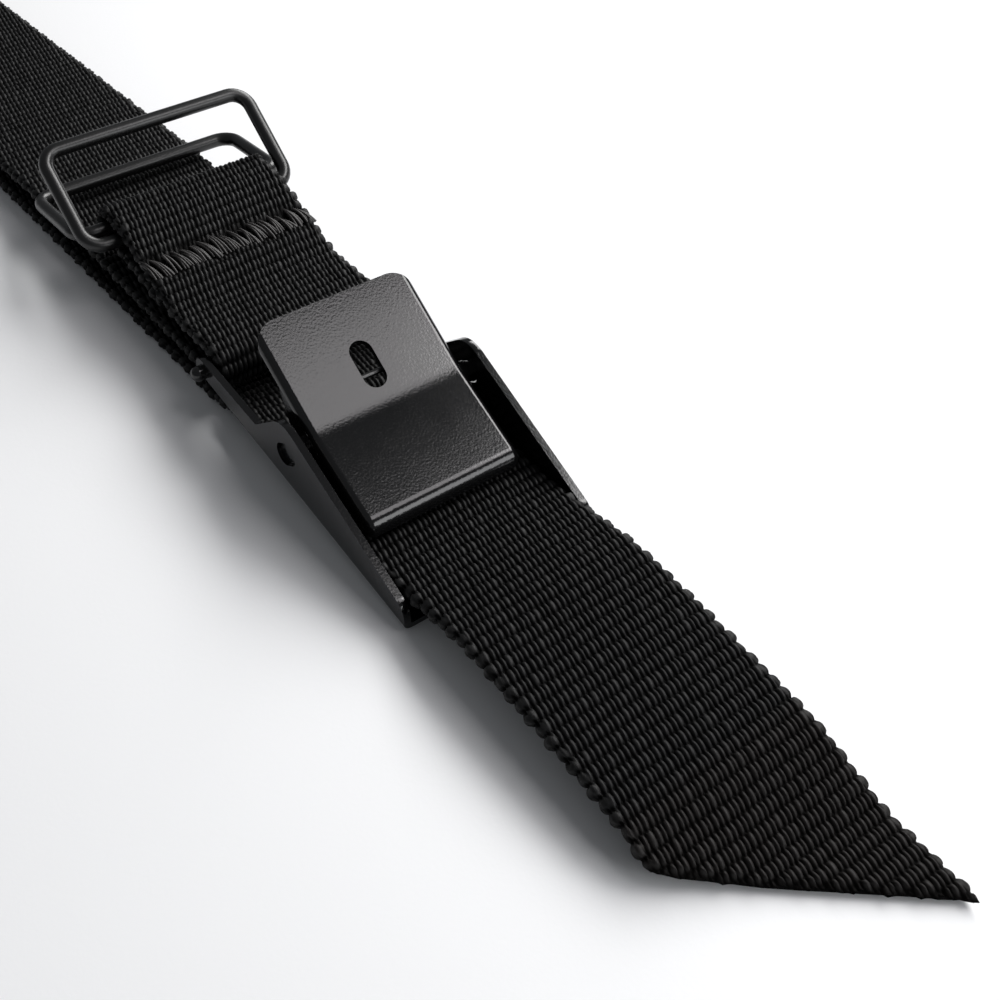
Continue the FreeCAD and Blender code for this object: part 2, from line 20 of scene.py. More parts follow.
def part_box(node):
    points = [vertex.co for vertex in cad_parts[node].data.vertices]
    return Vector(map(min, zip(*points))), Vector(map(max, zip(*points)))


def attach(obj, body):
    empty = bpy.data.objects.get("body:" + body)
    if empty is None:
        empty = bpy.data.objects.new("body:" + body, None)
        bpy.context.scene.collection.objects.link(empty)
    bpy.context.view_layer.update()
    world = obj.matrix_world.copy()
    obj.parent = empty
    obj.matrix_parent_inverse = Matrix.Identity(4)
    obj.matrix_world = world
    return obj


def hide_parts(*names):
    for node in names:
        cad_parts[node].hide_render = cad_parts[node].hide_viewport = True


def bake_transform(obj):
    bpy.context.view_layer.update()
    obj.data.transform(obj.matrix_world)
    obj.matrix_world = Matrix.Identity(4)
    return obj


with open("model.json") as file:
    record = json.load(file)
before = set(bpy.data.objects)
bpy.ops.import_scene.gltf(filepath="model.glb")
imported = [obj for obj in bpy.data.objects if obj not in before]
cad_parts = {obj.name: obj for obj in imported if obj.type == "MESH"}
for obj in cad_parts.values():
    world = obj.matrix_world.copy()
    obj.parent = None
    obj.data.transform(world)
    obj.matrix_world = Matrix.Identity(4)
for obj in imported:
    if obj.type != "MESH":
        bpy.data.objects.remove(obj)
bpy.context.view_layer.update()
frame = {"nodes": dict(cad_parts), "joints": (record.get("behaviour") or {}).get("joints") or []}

log = logging.getLogger("strap")
MM = 0.001
TINY = 1e-9
FIBRE_STREAK = 0.0009  # length of a streak along a yarn, in metres
FIBRE_BUNDLE = 0.31  # how fast the tint changes across a yarn, beside the fibres themselves
Socket = bpy.types.NodeSocket
Station = tuple[float, float, float]


class Body(Enum):
    """The rigid bodies that pieces ride on."""

    STRAP = "strap"
    LEVER = "lever"
    UPPER_RING = "upper_ring"
    LOWER_RING = "lower_ring"


class Slot(Enum):
    """The record's material slots."""

    WEBBING = "webbing"
    COATED_METAL = "coated_metal"
    COATED_WIRE = "coated_wire"
    SPRING_STEEL = "spring_steel"
    THREAD = "thread"
    TAB_LEATHER = "tab_leather"


class NodeWriter:
    """Adds nodes to a shader or geometry tree and joins them."""

    def __init__(self, tree: bpy.types.NodeTree) -> None:
        """Keeps the tree that nodes are added to."""
        self.tree = tree

    def node(self, kind: str, **settings: object) -> bpy.types.Node:
        """Adds a node.

        Args:
            kind: the node's Blender type name.
            **settings: properties to set on it.

        Returns:
            The new node.
        """
        made = self.tree.nodes.new(kind)
        for name, value in settings.items():
            setattr(made, name, value)
        return made

    def feed(self, node: bpy.types.Node, inputs: dict) -> bpy.types.Node:
        """Sets or links a node's inputs.

        Args:
            node: the node to feed.
            inputs: input name or index to a value or an output socket.

        Returns:
            The same node.
        """
        for key, value in inputs.items():
            if isinstance(value, bpy.types.NodeSocket):
                self.tree.links.new(value, node.inputs[key])
            else:
                node.inputs[key].default_value = value
        return node

    def math(self, operation: str, *values: object) -> Socket:
        """Adds a Math node.

        Args:
            operation: the node's operation.
            *values: numbers or sockets, in order.

        Returns:
            The node's output.
        """
        made = self.node("ShaderNodeMath", operation=operation)
        return self.feed(made, dict(enumerate(values))).outputs[0]

    def vector(self, x: object, y: object, z: object) -> Socket:
        """A vector from three numbers or sockets."""
        return self.feed(self.node("ShaderNodeCombineXYZ"), {0: x, 1: y, 2: z}).outputs[0]

    def scaled(self, vector: object, factor: object) -> Socket:
        """A vector times a number."""
        made = self.node("ShaderNodeVectorMath", operation="SCALE")
        return self.feed(made, {0: vector, "Scale": factor}).outputs[0]

    def product(self, vector: object, factors: object) -> Socket:
        """Two vectors multiplied part by part."""
        made = self.node("ShaderNodeVectorMath", operation="MULTIPLY")
        return self.feed(made, {0: vector, 1: factors}).outputs[0]

    def spread(self, value: Socket, low: float, high: float, out_low: float, out_high: float) -> Socket:
        """Maps a value smoothly from one range to another.

        Args:
            value: the value to map.
            low: value that gives out_low.
            high: value that gives out_high.
            out_low: result at and below low.
            out_high: result at and above high.

        Returns:
            The mapped value.
        """
        made = self.node("ShaderNodeMapRange", interpolation_type="SMOOTHSTEP")
        return self.feed(made, {0: value, 1: low, 2: high, 3: out_low, 4: out_high}).outputs[0]

    def noise(self, vector: Socket, scale: float, detail: float = 2.0) -> Socket:
        """A noise value between 0 and 1 at a place."""
        made = self.node("ShaderNodeTexNoise")
        return self.feed(made, {"Vector": vector, "Scale": scale, "Detail": detail}).outputs[0]

    def chance(self, vector: Socket) -> Socket:
        """A random value between 0 and 1 for each whole-numbered place."""
        made = self.node("ShaderNodeTexWhiteNoise", noise_dimensions="3D")
        return self.feed(made, {"Vector": vector}).outputs["Value"]

    def blended(self, factor: object, first: object, second: object) -> Socket:
        """A colour between two colours."""
        made = self.node("ShaderNodeMix", data_type="RGBA")
        return self.feed(made, {0: factor, 6: first, 7: second}).outputs[2]

    def attribute(self, name: str) -> Socket:
        """A material's reading of a number that the mesh stores."""
        return self.node("ShaderNodeAttribute", attribute_name=name).outputs["Fac"]

    def spot(self) -> Socket:
        """A material's reading of the point's own coordinates."""
        return self.node("ShaderNodeTexCoord").outputs["Object"]

    def bumped(self, strength: float, distance: float, height: Socket) -> Socket:
        """The surface's direction after a fine bump."""
        made = self.node("ShaderNodeBump")
        return self.feed(made, {"Strength": strength, "Distance": distance, "Height": height}).outputs[0]

    def finish(self, geometry: Socket, material: Socket) -> None:
        """Ends a geometry tree with real geometry in its material.

        Args:
            geometry: what the tree has made.
            material: the material's socket.
        """
        real = self.feed(self.node("GeometryNodeRealizeInstances"), {0: geometry})
        dressed = self.node("GeometryNodeSetMaterial")
        self.feed(dressed, {"Geometry": real.outputs[0], "Material": material})
        self.feed(self.node("NodeGroupOutput"), {0: dressed.outputs[0]})


def add_interface(tree: bpy.types.NodeTree, inputs: list[tuple], outputs: list[tuple]) -> None:
    """Gives a tree its named inputs and outputs.

    Args:
        tree: the node group.
        inputs: (name, socket type, default value or None) for each input.
        outputs: (name, socket type) for each output.
    """
    for name, kind, default in inputs:
        socket = tree.interface.new_socket(name, in_out="INPUT", socket_type=kind)
        if default is not None:
            socket.default_value = default
    for name, kind in outputs:
        tree.interface.new_socket(name, in_out="OUTPUT", socket_type=kind)


# ---------------------------------------------------------------- finishes


def grain_group() -> bpy.types.NodeTree:
    """Fine uneven surface, patches and specks, shared by the coated parts and the leather.

    Returns:
        A shader group with Height, Patch and Speck outputs.
    """
    tree = bpy.data.node_groups.new("SurfaceGrain", "ShaderNodeTree")
    add_interface(
        tree,
        [("Vector", "NodeSocketVector", None), ("Grain Scale", "NodeSocketFloat", 2500.0),
         ("Patch Scale", "NodeSocketFloat", 90.0), ("Speck Scale", "NodeSocketFloat", 1100.0)],
        [("Height", "NodeSocketFloat"), ("Patch", "NodeSocketFloat"), ("Speck", "NodeSocketFloat")],
    )
    writer = NodeWriter(tree)
    source = writer.node("NodeGroupInput")
    fine, patch, speck = (
        writer.noise(source.outputs["Vector"], source.outputs[f"{name} Scale"], detail)
        for name, detail in (("Grain", 3.0), ("Patch", 4.0), ("Speck", 1.0))
    )
    speck = writer.spread(speck, 0.70, 0.78, 0.0, 1.0)
    writer.feed(writer.node("NodeGroupOutput"), {"Height": fine, "Patch": patch, "Speck": speck})
    return tree


def fibre_group() -> bpy.types.NodeTree:
    """Fine twisted fibres along a yarn, shared by the webbing and the sewing thread.

    Returns:
        A shader group with Height and Tint outputs.
    """
    tree = bpy.data.node_groups.new("TwistedFibre", "ShaderNodeTree")
    add_interface(
        tree,
        [("Along", "NodeSocketFloat", 0.0), ("Across", "NodeSocketFloat", 0.0),
         ("Fibre Width", "NodeSocketFloat", 0.00009), ("Lay", "NodeSocketFloat", 0.35)],
        [("Height", "NodeSocketFloat"), ("Tint", "NodeSocketFloat")],
    )
    writer = NodeWriter(tree)
    source = writer.node("NodeGroupInput")
    along = source.outputs["Along"]
    slant = writer.math("MULTIPLY", along, source.outputs["Lay"])
    turn = writer.math("ADD", source.outputs["Across"], slant)
    fibres = writer.math("DIVIDE", turn, source.outputs["Fibre Width"])
    length = writer.math("DIVIDE", along, FIBRE_STREAK)
    streak = writer.noise(writer.vector(fibres, length, 0.0), 1.0, 2.0)
    bundles = writer.math("MULTIPLY", fibres, FIBRE_BUNDLE)
    tint = writer.noise(writer.vector(bundles, length, 4.0), 1.0, 1.0)
    writer.feed(writer.node("NodeGroupOutput"), {"Height": streak, "Tint": tint})
    return tree


@dataclass(frozen=True)
class Finish:
    """What every finish shares: a name, a colour and how rough it is."""

    name: str
    colour: tuple[float, float, float]
    roughness: float

    def build(self) -> bpy.types.Material:
        """Makes the material.

        Returns:
            The finished material.
        """
        material = bpy.data.materials.new(self.name)
        material.use_nodes = True
        material.diffuse_color = self.shade()
        writer = NodeWriter(material.node_tree)
        shader = material.node_tree.nodes["Principled BSDF"]
        writer.feed(shader, {"Base Color": self.shade(), "Roughness": self.roughness})
        self.dress(writer, shader)
        return material

    def dress(self, writer: NodeWriter, shader: bpy.types.Node) -> None:
        """Adds the finish's own nodes.

        Args:
            writer: adds nodes to the material.
            shader: the material's Principled BSDF.
        """

    def shade(self, factor: float = 1.0, lift: float = 0.0) -> tuple[float, ...]:
        """The finish's colour, lighter or darker.

        Args:
            factor: what every part is multiplied by.
            lift: what is added to it.

        Returns:
            Red, green, blue and alpha.
        """
        return (*(factor * part + lift for part in self.colour), 1.0)

    def uneven(self, writer: NodeWriter, pattern: Socket, smoother: float, rougher: float) -> Socket:
        """Roughness that follows a pattern.

        Args:
            writer: the material's writer.
            pattern: the pattern, between 0 and 1.
            smoother: how far the roughness falls.
            rougher: how far it rises.

        Returns:
            The roughness.
        """
        return writer.spread(pattern, 0.3, 0.7, self.roughness - smoother, self.roughness + rougher)


@dataclass(frozen=True)
class CoatedMetalFinish(Finish):
    """Satin black coating over stamped steel."""

    grain: bpy.types.NodeTree
    patchiness: float = 0.02
    grain_scale: float = 3600.0
    grain_depth: float = 0.00004
    dust: float = 0.35

    def dress(self, writer: NodeWriter, shader: bpy.types.Node) -> None:
        """Adds the coated metal's own nodes."""
        grain = writer.node("ShaderNodeGroup", node_tree=self.grain)
        writer.feed(grain, {"Vector": writer.spot(), "Grain Scale": self.grain_scale})
        rough = self.uneven(writer, grain.outputs["Patch"], self.patchiness, self.patchiness)
        dusted = writer.math("MULTIPLY", grain.outputs["Speck"], self.dust)
        colour = writer.blended(dusted, self.shade(), self.shade(2.6, 0.004))
        bump = writer.bumped(0.35, self.grain_depth, grain.outputs["Height"])
        writer.feed(shader, {"Base Color": colour, "Roughness": rough, "Normal": bump,
                             "Specular IOR Level": 0.5})


@dataclass(frozen=True)
class WebbingFinish(Finish):
    """Black polyester yarn with painted shade between the ribs and painted light on their crests, faintly
    brown where it was worked.
    """

    fibre: bpy.types.NodeTree
    worn_colour: tuple[float, float, float] = (0.0075, 0.0058, 0.0050)
    worn_share: float = 0.6
    fibre_width: float = 0.00008
    fibre_depth: float = 0.00005
    # colour factors: painted shade where the weave sits low, painted light on the crests
    painted_shade_and_crest_light: tuple[float, float] = (0.20, 1.12)
    gloss: tuple[float, float] = (0.03, 0.215)

    def dress(self, writer: NodeWriter, shader: bpy.types.Node) -> None:
        """Adds the webbing's own nodes."""
        relief = writer.attribute("relief")
        fibre = writer.node("ShaderNodeGroup", node_tree=self.fibre)
        writer.feed(fibre, {"Along": writer.attribute("along"), "Across": writer.attribute("across"),
                            "Fibre Width": self.fibre_width, "Lay": 0.3})
        tint = writer.math("MULTIPLY", fibre.outputs["Tint"], writer.attribute("yarn"))
        colour = writer.blended(tint, self.shade(), self.shade(2.9))
        worn = writer.math("MULTIPLY", writer.attribute("worn"), self.worn_share)
        colour = writer.blended(worn, colour, (*self.worn_colour, 1.0))
        # Painted shade and light: colour darkened where the weave sits low (between ribs and where pressed)
        # and lightened on the crests
        relief_painted_shade = writer.spread(relief, 0.15, 0.85, *self.painted_shade_and_crest_light)
        colour = writer.product(colour, writer.vector(relief_painted_shade, relief_painted_shade, relief_painted_shade))
        gloss = writer.spread(relief, 0.25, 0.85, *self.gloss)
        bump = writer.bumped(0.6, self.fibre_depth, fibre.outputs["Height"])
        writer.feed(shader, {"Base Color": colour, "Normal": bump, "Specular IOR Level": gloss})


@dataclass(frozen=True)
class ThreadFinish(Finish):
    """Twisted sewing thread with a slight shine."""

    twist_scale: tuple[float, float, float] = (5200.0, 2600.0, 2600.0)

    def dress(self, writer: NodeWriter, shader: bpy.types.Node) -> None:
        """Adds the thread's own nodes."""
        twist = writer.noise(writer.product(writer.spot(), self.twist_scale), 1.0, 2.0)
        colour = writer.blended(writer.spread(twist, 0.35, 0.7, 0.0, 1.0), self.shade(), self.shade(2.2))
        bump = writer.bumped(0.5, 0.00005, twist)
        writer.feed(shader, {"Base Color": colour, "Normal": bump, "Specular IOR Level": 0.5,
                             "Sheen Weight": 0.15, "Sheen Roughness": 0.35})


@dataclass(frozen=True)
class SpringSteelFinish(Finish):
    """Drawn spring wire."""

    streak_scale: tuple[float, float, float] = (900.0, 4000.0, 900.0)

    def dress(self, writer: NodeWriter, shader: bpy.types.Node) -> None:
        """Adds the spring steel's own nodes."""
        streak = writer.noise(writer.product(writer.spot(), self.streak_scale), 1.0, 3.0)
        rough = self.uneven(writer, streak, 0.08, 0.12)
        colour = writer.blended(streak, self.shade(), self.shade(0.45))
        writer.feed(shader, {"Base Color": colour, "Roughness": rough, "Metallic": 1.0})


@dataclass(frozen=True)
class LeatherFinish(Finish):
    """Smooth black leather with a pebbled grain."""

    grain: bpy.types.NodeTree
    pebble_scale: float = 900.0

    def dress(self, writer: NodeWriter, shader: bpy.types.Node) -> None:
        """Adds the leather's own nodes."""
        spot = writer.spot()
        cells = writer.node("ShaderNodeTexVoronoi", feature="DISTANCE_TO_EDGE")
        writer.feed(cells, {"Vector": spot, "Scale": self.pebble_scale})
        pebble = writer.spread(cells.outputs["Distance"], 0.0, 0.18, 0.0, 1.0)
        grain = writer.node("ShaderNodeGroup", node_tree=self.grain)
        writer.feed(grain, {"Vector": spot, "Grain Scale": 2400.0, "Patch Scale": 60.0})
        height = writer.math("ADD", pebble, writer.math("MULTIPLY", grain.outputs["Height"], 0.4))
        colour = writer.blended(grain.outputs["Patch"], self.shade(), self.shade(1.9))
        rough = self.uneven(writer, grain.outputs["Patch"], 0.08, 0.08)
        bump = writer.bumped(0.45, 0.0001, height)
        writer.feed(shader, {"Base Color": colour, "Roughness": rough, "Normal": bump,
                             "Specular IOR Level": 0.45})


@dataclass(frozen=True)
class TableFinish(Finish):
    """Pale matt table top."""

    grain_scale: float = 1600.0

    def dress(self, writer: NodeWriter, shader: bpy.types.Node) -> None:
        """Adds the table top's own nodes."""
        bump = writer.bumped(0.12, 0.0001, writer.noise(writer.spot(), self.grain_scale, 3.0))
        writer.feed(shader, {"Normal": bump, "Specular IOR Level": 0.35})


class Finishes:
    """All the strap's materials, built once."""

    def __init__(self) -> None:
        """Builds the shared groups and every material."""
        grain = grain_group()
        fibre = fibre_group()
        coat = CoatedMetalFinish
        self.coated_metal = coat("satin_coating", (0.0026, 0.0026, 0.0028), 0.12, grain).build()
        self.coated_wire = coat("wire_coating", (0.0035, 0.0035, 0.0036), 0.32, grain).build()
        self.webbing = WebbingFinish("ribbed_webbing", (0.0024, 0.0024, 0.0025), 0.50, fibre).build()
        self.thread = ThreadFinish("sewing_thread", (0.0065, 0.0055, 0.0052), 0.45).build()
        self.spring_steel = SpringSteelFinish("spring_steel", (0.09, 0.09, 0.09), 0.36).build()
        self.leather = LeatherFinish("tab_leather", (0.006, 0.0055, 0.0053), 0.45, grain).build()
        self.table = TableFinish("table_top", (0.80, 0.805, 0.815), 0.6).build()


# ---------------------------------------------------------------- shared building


def add_object(name: str, data: bpy.types.ID) -> bpy.types.Object:
    """Adds an object at the origin to the scene."""
    made = bpy.data.objects.new(name, data)
    bpy.context.scene.collection.objects.link(made)
    return made


def mesh_object(
    name: str, vertices: np.ndarray, faces: list, material: bpy.types.Material
) -> bpy.types.Object:
    """Makes a smooth-shaded object at the origin.

    Args:
        name: the piece's name.
        vertices: points in metres.
        faces: vertex numbers of each face.
        material: the piece's material.

    Returns:
        The new object.
    """
    mesh = bpy.data.meshes.new(name)
    mesh.from_pydata([tuple(map(float, point)) for point in vertices], [], faces)
    mesh.materials.append(material)
    mesh.shade_smooth()
    return add_object(name, mesh)


def bake_modifiers(piece: bpy.types.Object) -> bpy.types.Object:
    """Turns a piece with modifiers into a plain mesh.

    Args:
        piece: the object to bake.

    Returns:
        The same object with its result as its mesh.
    """
    graph = bpy.context.evaluated_depsgraph_get()
    made = bpy.data.meshes.new_from_object(piece.evaluated_get(graph))
    piece.modifiers.clear()
    old = piece.data
    piece.data = made
    bpy.data.meshes.remove(old)
    made.name = piece.name
    return piece


def grow(piece: bpy.types.Object, tree: bpy.types.NodeTree, settings: dict) -> bpy.types.Object:
    """Runs a geometry tree on a piece and keeps the result.

    Args:
        piece: the object that holds the tree's input.
        tree: the geometry tree.
        settings: named inputs to values.

    Returns:
        The same object as a plain mesh.
    """
    modifier = piece.modifiers.new(tree.name, "NODES")
    modifier.node_group = tree
    for item in tree.interface.items_tree:
        if item.item_type == "SOCKET" and item.in_out == "INPUT" and item.name in settings:
            modifier[item.identifier] = settings[item.name]
    return bake_modifiers(piece)


def place(piece: bpy.types.Object, body: Body, replaced: tuple[str, ...] = ()) -> None:
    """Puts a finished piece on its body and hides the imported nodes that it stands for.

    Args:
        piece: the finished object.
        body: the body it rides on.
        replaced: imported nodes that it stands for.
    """
    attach(piece, body.value)
    if replaced:
        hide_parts(*replaced)
    log.info("%s: %d faces on %s", piece.name, len(piece.data.polygons), body.value)


def store(piece: bpy.types.Object, name: str, values: np.ndarray, vector: bool = False) -> None:
    """Stores a number or a vector for every point of a piece.

    Args:
        piece: the object.
        name: the attribute's name.
        values: one value for each point, in any shape.
        vector: whether the values are vectors.
    """
    made = piece.data.attributes.new(name, "FLOAT_VECTOR" if vector else "FLOAT", "POINT")
    flat = np.ascontiguousarray(values, dtype=np.float32).ravel()
    made.data.foreach_set("vector" if vector else "value", flat)


def waves(places: np.ndarray, *parts: tuple[float, float, float]) -> np.ndarray:
    """A sum of sine waves, for edges and seams that wander.

    Args:
        places: where the sum is wanted.
        *parts: size, rate and start of each wave.

    Returns:
        The sum at each place.
    """
    return sum(size * np.sin(places * rate + start) for size, rate, start in parts)


def loop_share(behind: np.ndarray) -> np.ndarray:
    """How much of the loop's sideways shift a place has, from how far behind the origin it is."""
    return smoothstep(behind, -2.0, 24.0)


def smoothstep(values: np.ndarray, low: float, high: float) -> np.ndarray:
    """A smooth 0 to 1 step between two values, either way round."""
    share = np.clip((values - low) / (high - low), 0.0, 1.0)
    return share * share * (3.0 - 2.0 * share)


def tube(points: np.ndarray, radius: float, sides: int, closed: bool) -> tuple[np.ndarray, list]:
    """A round wire along points.

    Args:
        points: the wire's centre line.
        radius: the wire's radius.
        sides: vertices round the wire.
        closed: whether the line joins up with its start.

    Returns:
        Vertices and faces.
    """
    count = len(points)
    if closed:
        ways = np.roll(points, -1, axis=0) - np.roll(points, 1, axis=0)
    else:
        ways = np.gradient(points, axis=0)
    ways /= np.linalg.norm(ways, axis=1)[:, None]
    side = np.cross(ways[0], (0.13, 0.31, 0.94))
    rings = []
    for index in range(count):
        side = side - ways[index] * (side @ ways[index])
        side /= np.linalg.norm(side)
        other = np.cross(ways[index], side)
        turns = np.linspace(0.0, 2 * math.pi, sides, endpoint=False)
        spokes = np.cos(turns)[:, None] * side + np.sin(turns)[:, None] * other
        rings.append(points[index] + radius * spokes)
    faces = []
    for index in range(count if closed else count - 1):
        here, there = index * sides, (index + 1) % count * sides
        shift = 0
        if closed and index == count - 1:
            gaps = np.linalg.norm(rings[0] - rings[-1][0], axis=1)
            shift = int(np.argmin(gaps))
        for step in range(sides):
            after = (step + 1) % sides
            faces.append((here + step, here + after,
                          there + (after + shift) % sides, there + (step + shift) % sides))
    if not closed:
        faces.append(tuple(range(sides - 1, -1, -1)))
        faces.append(tuple(range((count - 1) * sides, count * sides)))
    return np.concatenate(rings), faces


def turned(way: np.ndarray, angles: np.ndarray) -> np.ndarray:
    """One flat vector turned by each of some angles."""
    cosine, sine = np.cos(angles), np.sin(angles)
    return np.stack((way[0] * cosine - way[1] * sine, way[0] * sine + way[1] * cosine), axis=1)


@dataclass(frozen=True)
class Leg:
    """A straight run from its origin, or an arc that an arm sweeps about its origin."""

    origin: np.ndarray
    way: np.ndarray
    length: float
    turn: float = 0.0
    arm: np.ndarray | None = None


@dataclass
class RoundedPath:
    """A path of straight runs and tangent arcs in the upright plane along the strap, in millimetres."""

    stations: list[Station]
    legs: list[Leg] = field(default_factory=list)

    def __post_init__(self) -> None:
        """Works out the runs and arcs."""
        points = [np.array(station[:2]) for station in self.stations]
        start = points[0]
        for before, corner, after, station in zip(points, points[1:], points[2:], self.stations[1:]):
            radius = station[2]
            way_in = (corner - before) / np.linalg.norm(corner - before)
            way_out = (after - corner) / np.linalg.norm(after - corner)
            turn = math.atan2(way_in[0] * way_out[1] - way_in[1] * way_out[0], way_in @ way_out)
            reach = radius * math.tan(abs(turn) / 2)
            arc_start = corner - way_in * reach
            left = np.array((-way_in[1], way_in[0])) * math.copysign(1.0, turn)
            self.legs.append(Leg(start, way_in, np.linalg.norm(arc_start - start)))
            self.legs.append(Leg(arc_start + left * radius, way_in, radius * abs(turn), turn, -left * radius))
            start = corner + way_out * reach
        way = (points[-1] - start) / np.linalg.norm(points[-1] - start)
        self.legs.append(Leg(start, way, np.linalg.norm(points[-1] - start)))

    @property
    def length(self) -> float:
        """The whole path's length."""
        return sum(leg.length for leg in self.legs)

    def at(self, distances: np.ndarray) -> tuple[np.ndarray, np.ndarray]:
        """Points and left-hand normals at distances along the path.

        Args:
            distances: distances from the start.

        Returns:
            Points and normals, each as (x, z) rows.
        """
        points = np.zeros((len(distances), 2))
        ways = np.zeros((len(distances), 2))
        begun = 0.0
        for leg in self.legs:
            inside = distances >= begun - TINY
            local = (distances - begun)[inside]
            if leg.arm is None:
                points[inside] = leg.origin + local[:, None] * leg.way
                ways[inside] = leg.way
            elif leg.length > TINY:
                angles = local / leg.length * leg.turn
                points[inside] = leg.origin + turned(leg.arm, angles)
                ways[inside] = turned(leg.way, angles)
            begun += leg.length
        return points, np.stack((-ways[:, 1], ways[:, 0]), axis=1)


# ---------------------------------------------------------------- the strap's own sizes


@dataclass(frozen=True)
class Layout:
    """Places that pieces share, in millimetres."""

    webbing_width: float = 24.6
    webbing_thickness: float = 1.8
    layer_step: float = 2.0
    nose_x: float = 48.5
    wrap_radius: float = 2.2
    fold_radius: float = 2.15
    bar_height: float = 10.0
    ring_depth: float = 14.4
    tail_tip: float = 60.7
    tail_cut: float = 20.8
    stack_front_x: float = -120.0
    stack_rear_x: float = -250.0
    yaw: float = math.radians(2.6)
    dip_behind_pin: float = 9.8
    dip_below_wrap: float = 0.6
    crest_ahead_of_bar: float = 1.6
    end_behind_pin: float = 13.6
    end_below_loop: float = 1.95

    @property
    def half(self) -> float:
        """Half of the webbing's width."""
        return self.webbing_width / 2

    @property
    def pin(self) -> np.ndarray:
        """Centre of the rear pin as (x, z)."""
        low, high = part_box("rear_pin")
        return np.array(((low.x + high.x) / 2, (low.z + high.z) / 2)) / MM

    def hinge(self, joint: str) -> np.ndarray:
        """A hinge's place as (x, z)."""
        found = next(each for each in frame["joints"] if each["name"] == joint)
        return np.array((found["pos_m"][0], found["pos_m"][2])) / MM

    def layer(self, index: int) -> float:
        """Height of the middle of one layer of the folded stack."""
        return self.webbing_thickness / 2 + index * self.layer_step

    def loop_line(self) -> tuple[float, float, float, float]:
        """The loop's dip and crest on its way from the fold to the pin.

        Returns:
            Dip x, dip z, crest x and the slope between them.
        """
        dip_x = self.pin[0] - self.dip_behind_pin
        dip_z = self.pin[1] + self.wrap_radius - self.dip_below_wrap
        crest_x = self.hinge("upper_ring_swing")[0] + self.crest_ahead_of_bar
        slope = (self.bar_height + self.fold_radius - dip_z) / (dip_x - crest_x)
        return dip_x, dip_z, crest_x, slope

    def upper_stations(self) -> list[Station]:
        """The upper webbing's route from its sewn end to its tab."""
        pin_x, pin_z = self.pin
        dip_x, dip_z, crest_x, slope = self.loop_line()
        low, high = self.bar_height - self.fold_radius, self.bar_height + self.fold_radius
        fold_x = self.hinge("lower_ring_swing")[0] - self.fold_radius
        end_x = pin_x - self.end_behind_pin
        end_z = dip_z + slope * (dip_x - end_x) - self.end_below_loop * math.hypot(1.0, slope)
        top, bottom = pin_z + self.wrap_radius, pin_z - self.wrap_radius
        wrap_x = pin_x + self.wrap_radius
        rear, front = self.stack_rear_x - 1.0, self.stack_front_x + 3.0
        return [
            (end_x, end_z, 0.0), (crest_x + 4.6, low, 6.0), (fold_x, low, self.fold_radius),
            (fold_x, high, self.fold_radius), (crest_x, high, 7.0), (dip_x, dip_z, 12.0),
            (pin_x - 3.0, top, 8.0), (wrap_x, top, self.wrap_radius), (wrap_x, bottom, self.wrap_radius),
            (-3.0, bottom, 25.0), (pin_x - 28.0, bottom + 1.0, 60.0), (pin_x - 46.0, bottom + 1.6, 60.0),
            (pin_x - 111.0, self.layer(1) + 0.1, 80.0), (self.stack_front_x + 4.0, self.layer(1), 80.0),
            (rear, self.layer(1), 1.0), (rear, self.layer(2), 1.0), (front, self.layer(2), 3.0),
            (front, self.layer(5), 3.0), (rear, self.layer(5), 1.0), (rear, self.layer(6), 1.0),
            (-162.0, self.layer(6), 0.0),
        ]

    def lower_stations(self) -> list[Station]:
        """The lower webbing's route from the tail's tip to its tab."""
        flat = self.layer(0)
        nose = self.nose_x
        rear, front = self.stack_rear_x - 3.0, self.stack_front_x + 1.0
        rises = [(49.0, 0.0), (38.8, 3.4), (21.5, 4.6), (10.5, 4.95), (-4.0, 2.45)]
        return [
            (nose + self.tail_tip, flat, 0.0), *((nose + ahead, flat + rise, 14.0) for ahead, rise in rises),
            (39.07, 3.17, 30.0), (19.22, 5.54, 6.0), (self.pin[0] - 1.8, flat, 9.0),
            (rear, flat, 3.0), (rear, self.layer(3), 3.0), (front, self.layer(3), 1.0),
            (front, self.layer(4), 1.0), (rear, self.layer(4), 3.0), (rear, self.layer(7), 3.0),
            (self.stack_rear_x + 18.0, self.layer(7), 0.0),
        ]


def read_named(writer: NodeWriter, name: str, kind: str) -> Socket:
    """A geometry tree's reading of a named attribute."""
    made = writer.node("GeometryNodeInputNamedAttribute", data_type=kind)
    return writer.feed(made, {"Name": name}).outputs[0]


